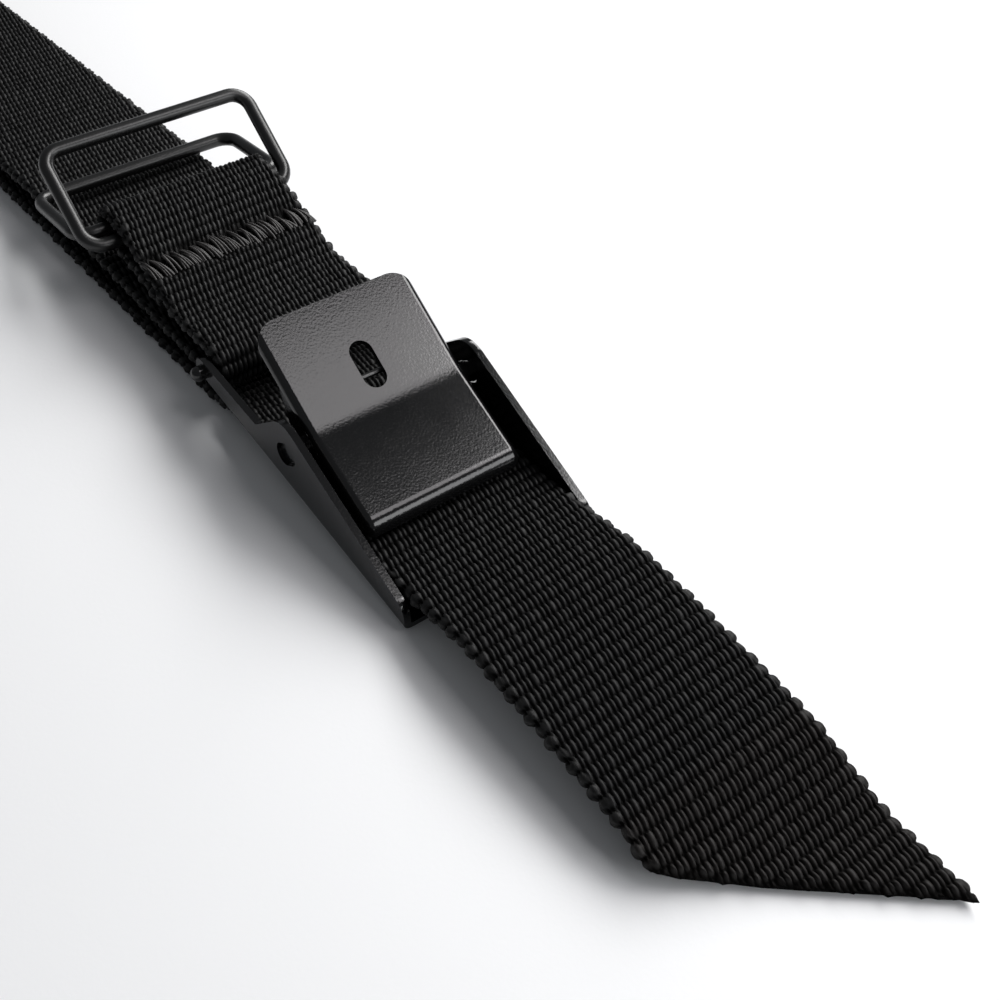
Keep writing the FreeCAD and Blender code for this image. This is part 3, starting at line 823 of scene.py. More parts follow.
class Weave:
    """The ribbed weave: crowded warp yarns that pass over and under thick weft ribs."""

    rib_pitch = 1.66
    yarns_round = 76
    rib_skew = 0.03
    wander = 0.3  # how far ribs drift, in ribs
    wander_scale = (60.0, 110.0)  # along and across the strip
    yarn_lean = 0.35
    yarn_shake = 0.55
    rib_roundness = 1.94
    bead_roundness = 2.1
    bead_narrowing = 1.1  # at the sides of a rib
    evenness = 0.80
    bead_luck = 0.22
    rib_luck = 0.10
    selvedge_loops = 0.45

    def __init__(self, material: bpy.types.Material) -> None:
        """Builds the geometry tree that raises the weave."""
        self.material = material
        self.tree = self._build_tree()

    def _build_tree(self) -> bpy.types.NodeTree:
        """Writes the tree: ribs across the strip, one bead for each yarn on each rib.

        Returns:
            The geometry tree.
        """
        tree = bpy.data.node_groups.new("RibbedWeave", "GeometryNodeTree")
        add_interface(
            tree,
            [("Geometry", "NodeSocketGeometry", None), ("Rib Pitch", "NodeSocketFloat", 0.0016),
             ("Yarn Pitch", "NodeSocketFloat", 0.0006), ("Yarns Round", "NodeSocketFloat", 86.0),
             ("Rib Height", "NodeSocketFloat", 0.00042), ("Bead Share", "NodeSocketFloat", 0.5),
             ("Wander", "NodeSocketFloat", 0.3), ("Material", "NodeSocketMaterial", None)],
            [("Geometry", "NodeSocketGeometry")],
        )
        writer = NodeWriter(tree)
        add, less, times, over, floor, modulo = (
            partial(writer.math, name)
            for name in ("ADD", "SUBTRACT", "MULTIPLY", "DIVIDE", "FLOOR", "FLOORED_MODULO")
        )
        source = writer.node("NodeGroupInput").outputs
        along, across, press, edge = (
            read_named(writer, name, "FLOAT") for name in ("along", "across", "press", "edge")
        )
        outward = read_named(writer, "outward", "FLOAT_VECTOR")
        spot = writer.vector(*map(times, (along, across), self.wander_scale), 0.0)
        drift = times(less(writer.noise(spot, 1.0, 2.0), 0.5), source["Wander"])
        ribs = add(over(along, source["Rib Pitch"]), drift)
        row = floor(ribs)
        up_rib = less(less(ribs, row), 0.5)
        parity = modulo(row, 2.0)
        yarns = add(over(across, source["Yarn Pitch"]), times(parity, 0.5))
        yarns = add(yarns, times(up_rib, self.yarn_lean))
        shake = writer.noise(writer.vector(yarns, row, 7.0), 0.9, 0.0)
        yarns = add(yarns, times(less(shake, 0.5), self.yarn_shake))
        column = floor(yarns)
        over_yarn = less(less(yarns, column), 0.5)
        luck = writer.chance(writer.vector(modulo(column, source["Yarns Round"]), row, 3.0))
        rib_luck = writer.chance(writer.vector(row, 5.0, 1.0))
        ridge = self._dome(writer, times(up_rib, self.rib_roundness))
        width = less(1.0, times(times(up_rib, up_rib), self.bead_narrowing))
        bead = self._dome(writer, over(times(over_yarn, self.bead_roundness), width))
        share = source["Bead Share"]
        height = times(ridge, add(times(bead, share), less(1.0, share)))
        uneven = add(self.evenness, times(luck, self.bead_luck))
        uneven = add(uneven, times(rib_luck, self.rib_luck))
        uneven = add(uneven, times(times(edge, parity), self.selvedge_loops))
        relief = times(times(height, uneven), less(1.0, press))
        sunk = times(less(relief, 1.0), source["Rib Height"])
        move = writer.node("GeometryNodeSetPosition")
        writer.feed(move, {"Geometry": source["Geometry"], "Offset": writer.scaled(outward, sunk)})
        kept = self._store(writer, move.outputs[0], "relief", relief)
        writer.finish(self._store(writer, kept, "yarn", luck), source["Material"])
        return tree

    @staticmethod
    def _store(writer: NodeWriter, geometry: Socket, name: str, value: Socket) -> Socket:
        """Stores a value on every point."""
        made = writer.node("GeometryNodeStoreNamedAttribute", data_type="FLOAT", domain="POINT")
        return writer.feed(made, {"Geometry": geometry, "Name": name, "Value": value}).outputs[0]

    @staticmethod
    def _dome(writer: NodeWriter, value: Socket) -> Socket:
        """The height of a half circle, 1 at 0 and 0 at 1."""
        left = writer.math("SUBTRACT", 1.0, writer.math("MULTIPLY", value, value))
        return writer.math("SQRT", writer.math("MAXIMUM", left, 0.0))

    def raise_on(
        self, strip: bpy.types.Object, perimeter: float, height: float, share: float
    ) -> bpy.types.Object:
        """Raises the weave on a smooth strip.

        Args:
            strip: the smooth strip with its attributes.
            perimeter: distance round the strip, in metres.
            height: the rib's height in metres.
            share: how much of the height the single yarns take.

        Returns:
            The woven strip.
        """
        return grow(strip, self.tree, {
            "Rib Pitch": self.rib_pitch * MM, "Yarn Pitch": perimeter / self.yarns_round,
            "Yarns Round": float(self.yarns_round), "Rib Height": height, "Bead Share": share,
            "Wander": self.wander, "Material": self.material,
        })


@dataclass
class Strip:
    """One stretch of a webbing, as a closed swept solid."""

    name: str
    path: RoundedPath
    start: float
    end: float
    layout: Layout
    plus_points: int = 160
    minus_points: int = 80
    rows_per_rib: int = 5
    rib_height: float = 0.56
    cut_length: float = 0.0
    turn_from: float = 0.0
    turn_length: float = 16.0
    tack_at: float | None = None
    loop_shift: float = 0.0
    corner_drop: float = 0.0
    side_points: int = 8
    bead_share: float = 0.85
    melted_length: float = 1.1
    melted_thinning: float = 0.35
    melted_press: float = 0.55
    hanging: tuple[float, float] = (20.0, 34.0)
    worn: tuple[float, float] = (24.0, 27.0)
    tack_reach: float = 1.9
    tack_press: float = 0.8
    tack_sink: float = 0.4

    def section(self) -> dict[str, np.ndarray]:
        """The cross-section: a flat strip with round sides.

        Returns:
            For each point round it: y, height, outward directions, distance round it and edge share.
        """
        radius = self.layout.webbing_thickness / 2
        flat = self.layout.half - radius
        turn = np.linspace(math.pi / 2, -math.pi / 2, self.side_points + 2)[1:-1]
        top = np.linspace(-flat, flat, self.plus_points)
        bottom = np.linspace(flat, -flat, self.minus_points)
        y = np.concatenate((top, flat + radius * np.cos(turn), bottom, -flat - radius * np.cos(turn)))
        high = np.concatenate((np.full(len(top), radius), radius * np.sin(turn),
                               np.full(len(bottom), -radius), -radius * np.sin(turn)))
        out_y = np.concatenate((np.zeros(len(top)), np.cos(turn), np.zeros(len(bottom)), -np.cos(turn)))
        out_high = np.concatenate((np.ones(len(top)), np.sin(turn), -np.ones(len(bottom)), -np.sin(turn)))
        around = np.concatenate(((0.0,), np.cumsum(np.hypot(np.diff(y), np.diff(high)))))
        return {"y": y, "high": high, "out_y": out_y, "out_high": out_high, "around": around,
                "edge": np.abs(out_y)}

    def perimeter(self) -> float:
        """Distance round the cross-section."""
        section = self.section()
        gap = math.hypot(section["y"][0] - section["y"][-1], section["high"][0] - section["high"][-1])
        return float(section["around"][-1] + gap)

    def distances(self, section: dict[str, np.ndarray]) -> np.ndarray:
        """Distance along the path of every point: rows, slanted where the end is cut on a slant."""
        count = max(4, round((self.end - self.start) / Weave.rib_pitch * self.rows_per_rib))
        rows = np.linspace(self.start, self.end, count)[:, None]
        if not self.cut_length:
            return np.repeat(rows, len(section["y"]), axis=1)
        y = section["y"][None, :]
        ragged = waves(y, (0.16, 2.1, 0.0), (0.10, 5.3, 1.0), (0.06, 11.7, 0.0))
        cut = self.cut_length * (self.layout.half - y) / self.layout.webbing_width + np.maximum(ragged, -0.2)
        share = (rows - self.start) / (self.end - self.start)
        return cut + share * (self.end - cut)

    def build(self, weave: Weave) -> bpy.types.Object:
        """Makes the woven stretch.

        Args:
            weave: the weave to raise on it.

        Returns:
            The finished object.
        """
        section = self.section()
        distances = self.distances(section)
        shape = distances.shape
        points, normals = (flat.reshape(*shape, 2) for flat in self.path.at(distances.ravel()))
        y = np.broadcast_to(section["y"], shape).copy()
        high, press = self.pressed(distances, y, np.broadcast_to(section["high"], shape).copy())
        x = points[..., 0] + normals[..., 0] * high
        z = self.heights(distances, y, points[..., 1]) + normals[..., 1] * high
        if self.loop_shift:
            y += loop_share(-points[..., 0]) * self.loop_shift * (distances < self.turn_from)
        turn = self.layout.yaw * smoothstep(distances, self.turn_from, self.turn_from + self.turn_length)
        placed = np.stack((x * np.cos(turn) - y * np.sin(turn),
                           x * np.sin(turn) + y * np.cos(turn), z), axis=-1)
        out = np.stack((normals[..., 0] * section["out_high"], np.broadcast_to(section["out_y"], shape),
                        normals[..., 1] * section["out_high"]), axis=-1)
        strip = mesh_object(self.name, placed.reshape(-1, 3) * MM, self.faces(*shape), weave.material)
        for cap in list(strip.data.polygons)[-2:]:
            cap.use_smooth = False
        worn = 1.0 - smoothstep(distances, *self.worn) if self.cut_length else press * 0.5
        for name, values in (("along", (distances + weave.rib_skew * y) * MM),
                             ("across", np.broadcast_to(section["around"], shape) * MM), ("press", press),
                             ("edge", np.broadcast_to(section["edge"], shape)), ("worn", worn)):
            store(strip, name, values)
        store(strip, "outward", out, vector=True)
        return weave.raise_on(strip, self.perimeter() * MM, self.rib_height * MM, self.bead_share)

    def pressed(
        self, distances: np.ndarray, y: np.ndarray, high: np.ndarray
    ) -> tuple[np.ndarray, np.ndarray]:
        """Flattens the strip at its melted cut and under the tack.

        Args:
            distances: distance along the path of every point.
            y: place across the strip.
            high: height of every point above the middle layer.

        Returns:
            The heights, and how far the weave is pressed flat.
        """
        press = np.zeros(distances.shape)
        if self.cut_length:
            melted = 1.0 - smoothstep(distances - distances[0], 0.0, self.melted_length)
            high *= 1.0 - self.melted_thinning * melted
            press = np.maximum(press, self.melted_press * melted)
        if self.tack_at is not None:
            wander = waves(y, (0.35, 0.9, 0.0), (0.15, 2.9, 0.0))
            near = np.exp(-((distances - self.tack_at + wander) / self.tack_reach) ** 4)
            inside = smoothstep(-np.abs(y), -self.layout.half + 0.2, -self.layout.half + 1.6)
            press = np.maximum(press, self.tack_press * near * inside)
            high -= self.tack_sink * near * inside * (high > 0)
        return high, press

    def heights(self, distances: np.ndarray, y: np.ndarray, level: np.ndarray) -> np.ndarray:
        """Heights of the middle layer; the slanted end hangs lower at its short corner.

        Args:
            distances: distance along the path of every point.
            y: place across the strip.
            level: the path's own height.

        Returns:
            The heights.
        """
        if not self.corner_drop:
            return level
        hanging = 1.0 - smoothstep(distances, *self.hanging)
        back = self.corner_drop * hanging * (self.layout.half - y) / self.layout.webbing_width
        lowered, _ = self.path.at(np.maximum(distances - back, 0.0).ravel())
        return lowered[:, 1].reshape(distances.shape)

    @staticmethod
    def faces(rows: int, around: int) -> list[tuple[int, ...]]:
        """Quads between rows and a cap at each end."""
        index = np.arange(rows * around).reshape(rows, around)
        after = np.roll(index, -1, axis=1)
        quads = np.stack((index[:-1], index[1:], after[1:], after[:-1]), axis=-1).reshape(-1, 4)
        faces = [tuple(int(number) for number in quad) for quad in quads]
        faces.append(tuple(int(number) for number in index[0]))
        faces.append(tuple(int(number) for number in index[-1][::-1]))
        return faces


@dataclass
class Strap:
    """Both webbings, each in a few stretches that join end to end."""

    layout: Layout
    weave: Weave

    def nearest(self, path: RoundedPath, x: float, z: float) -> float:
        """Distance along a path of its nearest point to a place.

        Args:
            path: the path.
            x: the place along the strap.
            z: the place's height.

        Returns:
            The distance from the path's start.
        """
        steps = np.arange(0.0, path.length, 0.1)
        points, _ = path.at(steps)
        return float(steps[np.argmin(np.hypot(points[:, 0] - x, points[:, 1] - z))])

    def upper(self) -> None:
        """Makes the loop with its fold, the upper run and its part of the stack."""
        layout = self.layout
        path = RoundedPath(layout.upper_stations())
        low = layout.pin[1] - layout.wrap_radius
        turn_from = self.nearest(path, layout.pin[0], low)
        run_from = self.nearest(path, -1.0, low)
        stack_from = self.nearest(path, layout.stack_front_x + 4.0, layout.layer(1))
        dip_x, dip_z, _, slope = layout.loop_line()
        tack_x = layout.pin[0] - BarTack.from_pin
        tack_at = self.nearest(path, tack_x, dip_z + slope * (dip_x - tack_x))
        shared = {"path": path, "layout": layout, "turn_from": turn_from}
        strips = [
            Strip("webbing_loop", start=0.0, end=run_from, plus_points=206, minus_points=100,
                  rows_per_rib=7, tack_at=tack_at, loop_shift=BarTack.loop_shift, **shared),
            Strip("webbing_upper_run", start=run_from, end=stack_from, plus_points=84,
                  minus_points=165, **shared),
            Strip("webbing_upper_stack", start=stack_from, end=path.length, plus_points=30, minus_points=30,
                  rows_per_rib=4, bead_share=0.4, **shared),
        ]
        self.finish(strips, "upper_webbing", path.length)

    def lower(self) -> None:
        """Makes the tail, the stretch through the buckle, the lower run and its part of the stack."""
        layout = self.layout
        path = RoundedPath(layout.lower_stations())
        flat = layout.layer(0)
        turn_from = self.nearest(path, 7.0, flat + 1.5)
        marks = [0.0, self.nearest(path, 36.0, 3.6), self.nearest(path, 0.0, flat),
                 self.nearest(path, layout.stack_front_x, flat), path.length]
        shared = {"path": path, "layout": layout, "turn_from": turn_from}
        strips = [
            Strip("webbing_tail", start=marks[0], end=marks[1], plus_points=58, minus_points=240,
                  rows_per_rib=7, cut_length=layout.tail_cut, corner_drop=4.0, **shared),
            Strip("webbing_in_buckle", start=marks[1], end=marks[2], plus_points=84,
                  minus_points=165, **shared),
            Strip("webbing_lower_run", start=marks[2], end=marks[3], plus_points=60,
                  minus_points=124, **shared),
            Strip("webbing_lower_stack", start=marks[3], end=marks[4], plus_points=30, minus_points=30,
                  rows_per_rib=4, bead_share=0.4, **shared),
        ]
        self.finish(strips, "lower_webbing", path.length)

    def finish(self, strips: list[Strip], node: str, length: float) -> None:
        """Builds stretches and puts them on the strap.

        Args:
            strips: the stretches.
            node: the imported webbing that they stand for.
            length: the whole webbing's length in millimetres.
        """
        for strip in strips:
            piece = strip.build(self.weave)
            place(piece, Body.STRAP, (node,))
        log.info("%s: %.0f mm of webbing", node, length)


# ---------------------------------------------------------------- stitches


class Stitches:
    """Rows of stitches, one curved thread on each point of a row."""

    def __init__(self, material: bpy.types.Material) -> None:
        """Builds the geometry tree that lays the stitches."""
        self.material = material
        self.tree = self._build_tree()

    @staticmethod
    def _build_tree() -> bpy.types.NodeTree:
        """Writes the tree: a bent thread on each point, turned to the point's own directions.

        Returns:
            The geometry tree.
        """
        tree = bpy.data.node_groups.new("StitchRow", "GeometryNodeTree")
        add_interface(
            tree,
            [("Geometry", "NodeSocketGeometry", None), ("Stitch Length", "NodeSocketFloat", 0.004),
             ("Rise", "NodeSocketFloat", 0.0004), ("Sink", "NodeSocketFloat", 0.0003),
             ("Thread Radius", "NodeSocketFloat", 0.00015), ("Unevenness", "NodeSocketFloat", 0.2),
             ("Seed", "NodeSocketInt", 3), ("Material", "NodeSocketMaterial", None)],
            [("Geometry", "NodeSocketGeometry")],
        )
        writer = NodeWriter(tree)
        source = writer.node("NodeGroupInput").outputs
        reach = writer.math("MULTIPLY", source["Stitch Length"], 0.5)
        down = writer.math("MULTIPLY", source["Sink"], -1.0)
        peak = writer.math("MULTIPLY", source["Rise"], 2.0)
        bend = writer.node("GeometryNodeCurveQuadraticBezier")
        writer.feed(bend, {"Resolution": 9, "Middle": writer.vector(0.0, 0.0, peak),
                           "Start": writer.vector(writer.math("MULTIPLY", reach, -1.0), 0.0, down),
                           "End": writer.vector(reach, 0.0, down)})
        circle = writer.node("GeometryNodeCurvePrimitiveCircle")
        writer.feed(circle, {"Resolution": 8, "Radius": source["Thread Radius"]})
        thread = writer.node("GeometryNodeCurveToMesh")
        writer.feed(thread, {"Curve": bend.outputs[0], "Profile Curve": circle.outputs[0], "Fill Caps": True})
        smooth = writer.feed(writer.node("GeometryNodeSetShadeSmooth"), {0: thread.outputs[0]})
        heading, upward = (read_named(writer, name, "FLOAT_VECTOR") for name in ("heading", "upward"))
        first = writer.node("FunctionNodeAlignRotationToVector", axis="X")
        writer.feed(first, {"Vector": heading})
        second = writer.node("FunctionNodeAlignRotationToVector", axis="Z", pivot_axis="X")
        writer.feed(second, {"Rotation": first.outputs[0], "Vector": upward})
        luck = writer.node("FunctionNodeRandomValue", data_type="FLOAT")
        low, high = (writer.math(name, 1.0, source["Unevenness"]) for name in ("SUBTRACT", "ADD"))
        writer.feed(luck, {2: low, 3: high, "Seed": source["Seed"]})
        each = writer.node("GeometryNodeInstanceOnPoints")
        writer.feed(each, {"Points": source["Geometry"], "Instance": smooth.outputs[0],
                           "Rotation": second.outputs[0],
                           "Scale": writer.vector(luck.outputs[1], 1.0, luck.outputs[1])})
        writer.finish(each.outputs[0], source["Material"])
        return tree

    def sew(self, name: str, points: np.ndarray, headings: np.ndarray, upward: np.ndarray,
            settings: dict) -> bpy.types.Object:
        """Lays a row of stitches.

        Args:
            name: the piece's name.
            points: where the stitches are, in metres.
            headings: the way that each stitch runs.
            upward: the way that each stitch stands proud.
            settings: named inputs of the tree.

        Returns:
            The finished object.
        """
        row = mesh_object(name, points, [], self.material)
        store(row, "heading", headings, vector=True)
        store(row, "upward", upward, vector=True)
        return grow(row, self.tree, {**settings, "Material": self.material})


@dataclass
class BarTack:
    """The dense zigzag that closes the fold."""

    layout: Layout
    stitches: Stitches
    from_pin = 17.2
    loop_shift = 0.9
    clump_pitch: float = 1.42
    threads: int = 4
    length: float = 3.7
    inset: float = 0.9
    below_surface: float = 0.42
    clump_width: float = 0.62
    dome: float = 0.16

    def build(self) -> None:
        """Sews the bar tack."""
        layout = self.layout
        dip_x, dip_z, _, slope = layout.loop_line()
        centre_x = layout.pin[0] - self.from_pin
        surface_z = dip_z + slope * (dip_x - centre_x) + layout.webbing_thickness / 2
        along = np.array((1.0, 0.0, -slope)) / math.hypot(1.0, slope)
        up = np.array((slope, 0.0, 1.0)) / math.hypot(1.0, slope)
        half = layout.half - self.inset
        random = np.random.default_rng(11)
        clumps = np.repeat(np.arange(-half, half, self.clump_pitch), self.threads)
        count = len(clumps)
        place_in = np.tile(np.linspace(-0.5, 0.5, self.threads), count // self.threads)
        y = clumps + self.clump_width * place_in + random.normal(0.0, 0.09, count)
        swing = waves(clumps, (0.32, 0.9, 0.0), (0.2, 2.3, 0.7)) + random.normal(0.0, 0.14, count)
        rise = self.dome * (0.5 - np.abs(place_in)) + random.normal(0.0, 0.03, count)
        shift = self.loop_shift * float(loop_share(np.array(-centre_x)))
        points = np.stack((np.full(count, centre_x), y + shift,
                           np.full(count, surface_z - self.below_surface)), axis=1)
        points += along * swing[:, None] + up * rise[:, None]
        slant = 0.34 + 0.12 * np.sin(clumps * 1.7) + 0.55 * place_in * random.uniform(0.2, 1.0, count)
        headings = along + slant[:, None] * np.array((0.0, 1.0, 0.0))
        piece = self.stitches.sew("bar_tack_stitches", points * MM, headings, np.tile(up, (count, 1)), {
            "Stitch Length": self.length * MM, "Rise": 0.34 * MM, "Sink": 0.5 * MM,
            "Thread Radius": 0.19 * MM, "Unevenness": 0.2, "Seed": 5,
        })
        place(piece, Body.STRAP, ("bar_tack",))


# ---------------------------------------------------------------- metal


@dataclass(frozen=True)
class PressedPart:
    """A stamped or moulded part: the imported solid's shape with every hard edge eased."""

    node: str
    name: str
    body: Body
    slot: Slot
    ease: float
    hard_angle: float = 35.0

    def build(self, material: bpy.types.Material) -> None:
        """Makes the part.

        Args:
            material: the part's material.
        """
        mesh = bpy.data.meshes.new(self.name)
        work = bmesh.new()
        work.from_mesh(frame["nodes"][self.node].data)
        bmesh.ops.remove_doubles(work, verts=work.verts, dist=2e-7)
        bmesh.ops.dissolve_limit(work, angle_limit=math.radians(0.4), verts=work.verts, edges=work.edges)
        work.to_mesh(mesh)
        work.free()
        mesh.materials.clear()
        mesh.materials.append(material)
        piece = add_object(self.name, mesh)
        eased = piece.modifiers.new("eased", "BEVEL")
        eased.width = self.ease * MM
        eased.segments = 3
        eased.limit_method = "ANGLE"
        eased.angle_limit = math.radians(self.hard_angle)
        eased.miter_outer = "MITER_ARC"
        bake_modifiers(piece)
        piece.data.shade_smooth()
        piece.data.set_sharp_from_angle(angle=math.radians(self.hard_angle))
        weighted = piece.modifiers.new("weighted", "WEIGHTED_NORMAL")
        weighted.keep_sharp = True
        bake_modifiers(piece)
        place(piece, self.body, (self.node,))


@dataclass
class KeeperRing:
    """A rectangular ring of round wire that hangs in the fold."""

    name: str
    node: str
    body: Body
    joint: str
    tilt_deg: float
    layout: Layout
    wire_radius: float = 0.95
    side_gap: float = 2.0
    corner_radius: float = 2.5
    step_length: float = 1.5

    def build(self, material: bpy.types.Material) -> None:
        """Makes the ring.

        Args:
            material: the wire's material.
        """
        half = self.layout.half + self.side_gap + self.wire_radius
        radius = self.corner_radius
        far, side = self.layout.ring_depth - radius, half - radius
        line = []
        for centre_depth, centre_y, start in ((far, side, 0.0), (far, -side, -90.0),
                                              (radius, -side, -180.0), (radius, side, -270.0)):
            for step in np.linspace(0.0, 1.0, 9):
                angle = math.radians(start + 90.0 - 90.0 * step)
                line.append((centre_depth + radius * math.cos(angle), centre_y + radius * math.sin(angle)))
        line = np.array(line)
        spread = [line[0]]
        for here, there in zip(line, np.roll(line, -1, axis=0)):
            count = max(1, int(np.linalg.norm(there - here) / self.step_length))
            spread += [here + (there - here) * share for share in np.linspace(0.0, 1.0, count + 1)[1:]]
        flat = np.array(spread[:-1])
        tilt = math.radians(self.tilt_deg)
        bar = self.layout.hinge(self.joint)
        points = np.stack((bar[0] - flat[:, 0] * math.cos(tilt), flat[:, 1],
                           bar[1] + flat[:, 0] * math.sin(tilt)), axis=1)
        vertices, faces = tube(points * MM, self.wire_radius * MM, 24, True)
        piece = mesh_object(self.name, vertices, faces, material)
        face_outwards(piece)
        place(piece, self.body, (self.node,))


def face_outwards(piece: bpy.types.Object) -> None:
    """Turns all of a closed piece's faces outwards."""
    work = bmesh.new()
    work.from_mesh(piece.data)
    bmesh.ops.recalc_face_normals(work, faces=work.faces)
    work.to_mesh(piece.data)
    work.free()


@dataclass
class CamSpring:
    """Torsion spring: two coils on the pivot pin and a bail under the thumb plate."""

    layout: Layout
    wire_radius: float = 0.35
    coil_radius: float = 2.1
    turns: float = 5.0
    pitch: float = 0.78
    inner_y: float = 2.6
    points_per_turn: int = 26

    def build(self, material: bpy.types.Material) -> None:
        """Makes the spring.

        Args:
            material: the wire's material.
        """
        pivot = self.layout.hinge("lever_press")
        low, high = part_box("cam_spring")
        bail_x, bail_z = low.x / MM + self.wire_radius, high.z / MM - self.wire_radius
        steps = np.linspace(0.0, 1.0, int(self.turns * self.points_per_turn))
        sides = []
        for side in (-1.0, 1.0):
            angle = math.pi + 2 * math.pi * self.turns * (1.0 - steps)
            y = side * (self.inner_y + self.pitch * self.turns * (1.0 - steps))
            sides.append(np.stack((pivot[0] + self.coil_radius * np.cos(angle), y,
                                   pivot[1] + self.coil_radius * np.sin(angle)), axis=1))
        first, last = sides[0], sides[1][::-1]
        reach = np.linspace(0.0, 1.0, 9)[1:-1, None]
        corner = np.array((bail_x, -self.inner_y, bail_z))
        other = corner * (1.0, -1.0, 1.0)
        up = first[-1] + (corner - first[-1]) * reach
        over = corner + (other - corner) * np.linspace(0.0, 1.0, 9)[:, None]
        down = other + (last[0] - other) * reach
        points = np.concatenate((first, up, over, down, last))
        vertices, faces = tube(points * MM, self.wire_radius * MM, 12, False)
        piece = mesh_object("cam_spring_wire", vertices, faces, material)
        face_outwards(piece)
        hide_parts("cam_spring")
        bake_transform(piece)
        log.info("%s: %d faces between %s and %s", piece.name, len(faces), Body.STRAP.value, Body.LEVER.value)


@dataclass
class EndTab:
    """A leather end with its rectangle of stitching."""

    which: str
    layout: Layout
    finishes: Finishes
    stitches: Stitches
    stitch_pitch: float = 2.4
    edge_ease: float = 0.45
    edge_angle: float = 60.0
    sunk: float = 0.28
    inset: float = 0.35

    def build(self) -> None:
        """Makes the leather and its stitching."""
        leather = PressedPart(f"{self.which}_end_tab", f"{self.which}_leather_end", Body.STRAP,
                              Slot.TAB_LEATHER, self.edge_ease, self.edge_angle)
        leather.build(self.finishes.leather)
        low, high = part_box(f"{self.which}_tab_stitching")
        yaw = self.layout.yaw
        centre = (low + high) / 2 / MM
        span = np.array((high.x - low.x, high.y - low.y)) / MM
        spread = np.array(((math.cos(yaw), math.sin(yaw)), (math.sin(yaw), math.cos(yaw))))
        long, wide = np.linalg.solve(spread, span) - 2 * self.inset
        corners = [(-long / 2, -wide / 2), (long / 2, -wide / 2), (long / 2, wide / 2), (-long / 2, wide / 2)]
        points, headings = [], []
        for (x0, y0), (x1, y1) in zip(corners, corners[1:] + corners[:1]):
            side = np.array((x1 - x0, y1 - y0))
            count = round(np.linalg.norm(side) / self.stitch_pitch)
            way = side / np.linalg.norm(side)
            for index in range(count):
                flat = np.array((x0, y0)) + side * (index + 0.5) / count
                points.append((*flat, high.z / MM - self.sunk))
                headings.append((*way, 0.0))
        turn = np.array(((math.cos(yaw), math.sin(yaw), 0.0),
                         (-math.sin(yaw), math.cos(yaw), 0.0), (0.0, 0.0, 1.0)))
        points = np.array(points) @ turn + np.array((centre.x, centre.y, 0.0))
        piece = self.stitches.sew(f"{self.which}_tab_thread", points * MM, np.array(headings) @ turn,
                                  np.tile((0.0, 0.0, 1.0), (len(points), 1)),
                                  {"Stitch Length": 2.0 * MM, "Rise": 0.16 * MM, "Sink": 0.30 * MM,
                                   "Thread Radius": 0.22 * MM, "Unevenness": 0.04, "Seed": 9})
        place(piece, Body.STRAP, (f"{self.which}_tab_stitching",))


# ---------------------------------------------------------------- stage


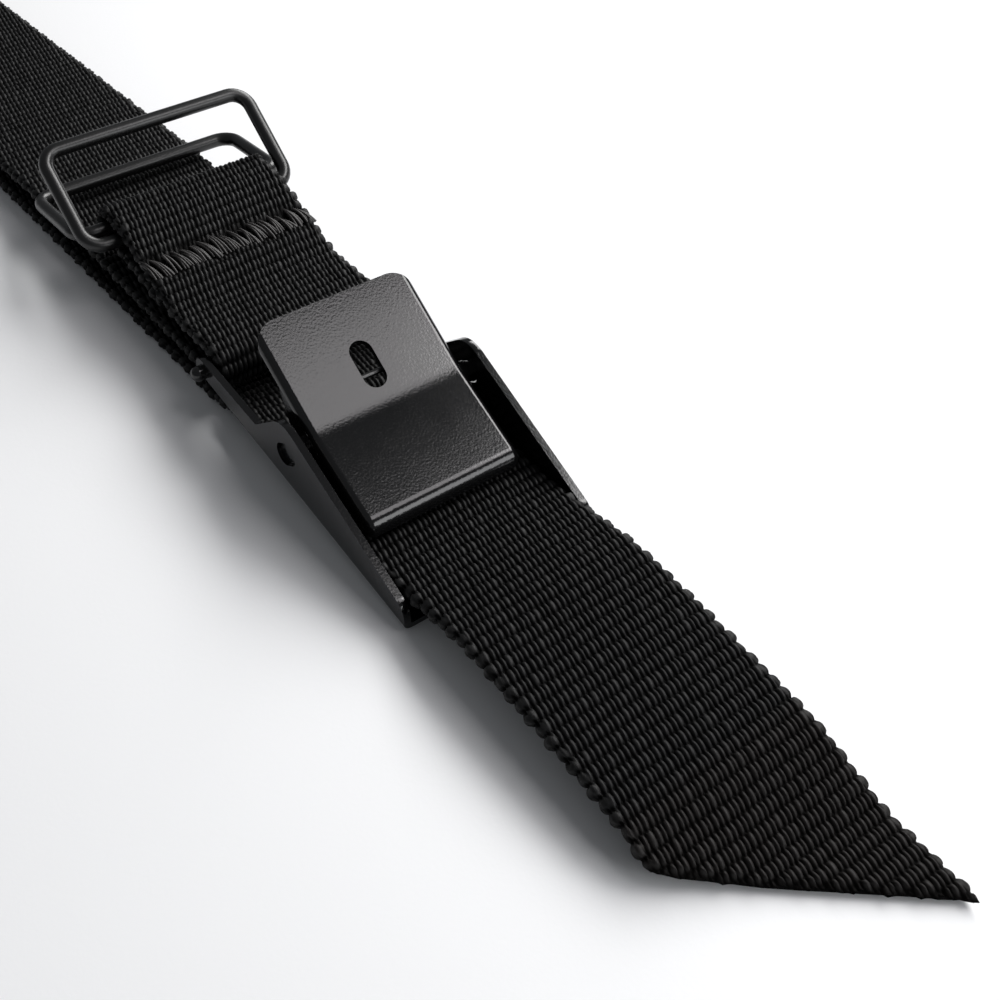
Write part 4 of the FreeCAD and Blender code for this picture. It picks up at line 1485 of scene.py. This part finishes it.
@dataclass
class Studio:
    """Pale table, soft light and the camera."""

    target: tuple[float, float, float] = (49.43, 0.0, 12.07)
    azimuth_deg: float = 50.55
    elevation_deg: float = 45.72
    roll_deg: float = 3.12
    distance: float = 146.46
    lens: float = 48.8

    def build(self, finishes: Finishes) -> None:
        """Makes the table, the lights and the camera.

        Args:
            finishes: the materials.
        """
        self.table(finishes.table)
        self.world()
        self.softbox("window_light", (-0.22, 0.725, 0.652), 430.0, (620.0, 170.0), 2.9, (1.0, 0.995, 0.985))
        self.softbox("overhead_light", (0.314, 0.400, 0.861), 425.0, (160.0, 220.0), 0.44, (1.0, 0.97, 0.985))
        self.softbox("side_light", (0.80, 0.46, 0.38), 500.0, (200.0, 350.0), 1.0, (0.98, 0.99, 1.0))
        self.camera()
        bpy.context.scene.view_settings.view_transform = "Standard"

    @staticmethod
    def table(material: bpy.types.Material) -> None:
        """Makes the table top."""
        size = 2.0
        corners = np.array(((-size, -size, 0.0), (size, -size, 0.0), (size, size, 0.0), (-size, size, 0.0)))
        top = mesh_object("table_top", corners, [(0, 1, 2, 3)], material)

    @staticmethod
    def world() -> None:
        """Makes the soft light of the room."""
        world = bpy.data.worlds.new("room")
        world.use_nodes = True
        light = world.node_tree.nodes["Background"]
        NodeWriter(world.node_tree).feed(light, {"Color": (0.93, 0.96, 1.0, 1.0), "Strength": 0.18})
        bpy.context.scene.world = world

    def softbox(
        self, name: str, way: tuple, distance: float, size: tuple, energy: float, colour: tuple
    ) -> None:
        """Makes a rectangular soft light that faces the buckle.

        Args:
            name: the light's name.
            way: direction from the target to the light.
            distance: distance from the target in millimetres.
            size: width and height in millimetres.
            energy: power in watts.
            colour: the light's colour.
        """
        lamp = bpy.data.lights.new(name, "AREA")
        lamp.shape = "RECTANGLE"
        lamp.size, lamp.size_y = size[0] * MM, size[1] * MM
        lamp.energy = energy
        lamp.color = colour
        made = add_object(name, lamp)
        way_out = Vector(way).normalized()
        made.location = (Vector(self.target) + way_out * distance) * MM
        across = (Vector((0.0, 1.0, 0.0)) - way_out * way_out.y).normalized()
        made.rotation_euler = Matrix((across.cross(way_out), across, way_out)).transposed().to_euler()

    def camera(self) -> None:
        """Makes the camera."""
        azimuth, elevation = math.radians(self.azimuth_deg), math.radians(self.elevation_deg)
        back = Vector((math.sin(azimuth) * math.cos(elevation), -math.cos(azimuth) * math.cos(elevation),
                       math.sin(elevation)))
        right = (-back).cross(Vector((0.0, 0.0, 1.0))).normalized()
        up = right.cross(-back)
        roll = math.radians(self.roll_deg)
        rolled_right = right * math.cos(roll) + up * math.sin(roll)
        rolled_up = up * math.cos(roll) - right * math.sin(roll)
        data = bpy.data.cameras.new("camera")
        data.lens = self.lens
        data.sensor_width = 36.0
        data.clip_start = 0.001
        made = add_object("camera", data)
        made.matrix_world = Matrix((
            (rolled_right.x, rolled_up.x, back.x, 0.0), (rolled_right.y, rolled_up.y, back.y, 0.0),
            (rolled_right.z, rolled_up.z, back.z, 0.0), (0.0, 0.0, 0.0, 1.0)))
        made.location = (Vector(self.target) + back * self.distance) * MM
        bpy.context.scene.camera = made


def main() -> None:
    """Builds the strap, its stage and its light."""
    logging.basicConfig(level=logging.INFO, format="%(message)s")
    layout = Layout()
    finishes = Finishes()
    weave = Weave(finishes.webbing)
    stitches = Stitches(finishes.thread)
    strap = Strap(layout, weave)
    strap.upper()
    strap.lower()
    BarTack(layout, stitches).build()
    for part in (
        PressedPart("buckle_frame", "buckle_stamping", Body.STRAP, Slot.COATED_METAL, 0.16),
        PressedPart("cam_lever", "thumb_lever", Body.LEVER, Slot.COATED_METAL, 0.2),
        PressedPart("rear_pin", "rear_cross_pin", Body.STRAP, Slot.COATED_METAL, 0.08),
        PressedPart("cam_pivot_pin", "pivot_pin", Body.STRAP, Slot.COATED_METAL, 0.12),
    ):
        part.build(finishes.coated_metal)
    CamSpring(layout).build(finishes.spring_steel)
    for which, body, tilt in (("upper", Body.UPPER_RING, 34.7), ("lower", Body.LOWER_RING, -7.5)):
        ring = KeeperRing(f"{which}_wire_ring", f"{which}_keeper_ring", body,
                          f"{which}_ring_swing", tilt, layout)
        ring.build(finishes.coated_wire)
    for which in ("upper", "lower"):
        EndTab(which, layout, finishes, stitches).build()
    Studio().build(finishes)


if __name__ == "__main__":
    main()
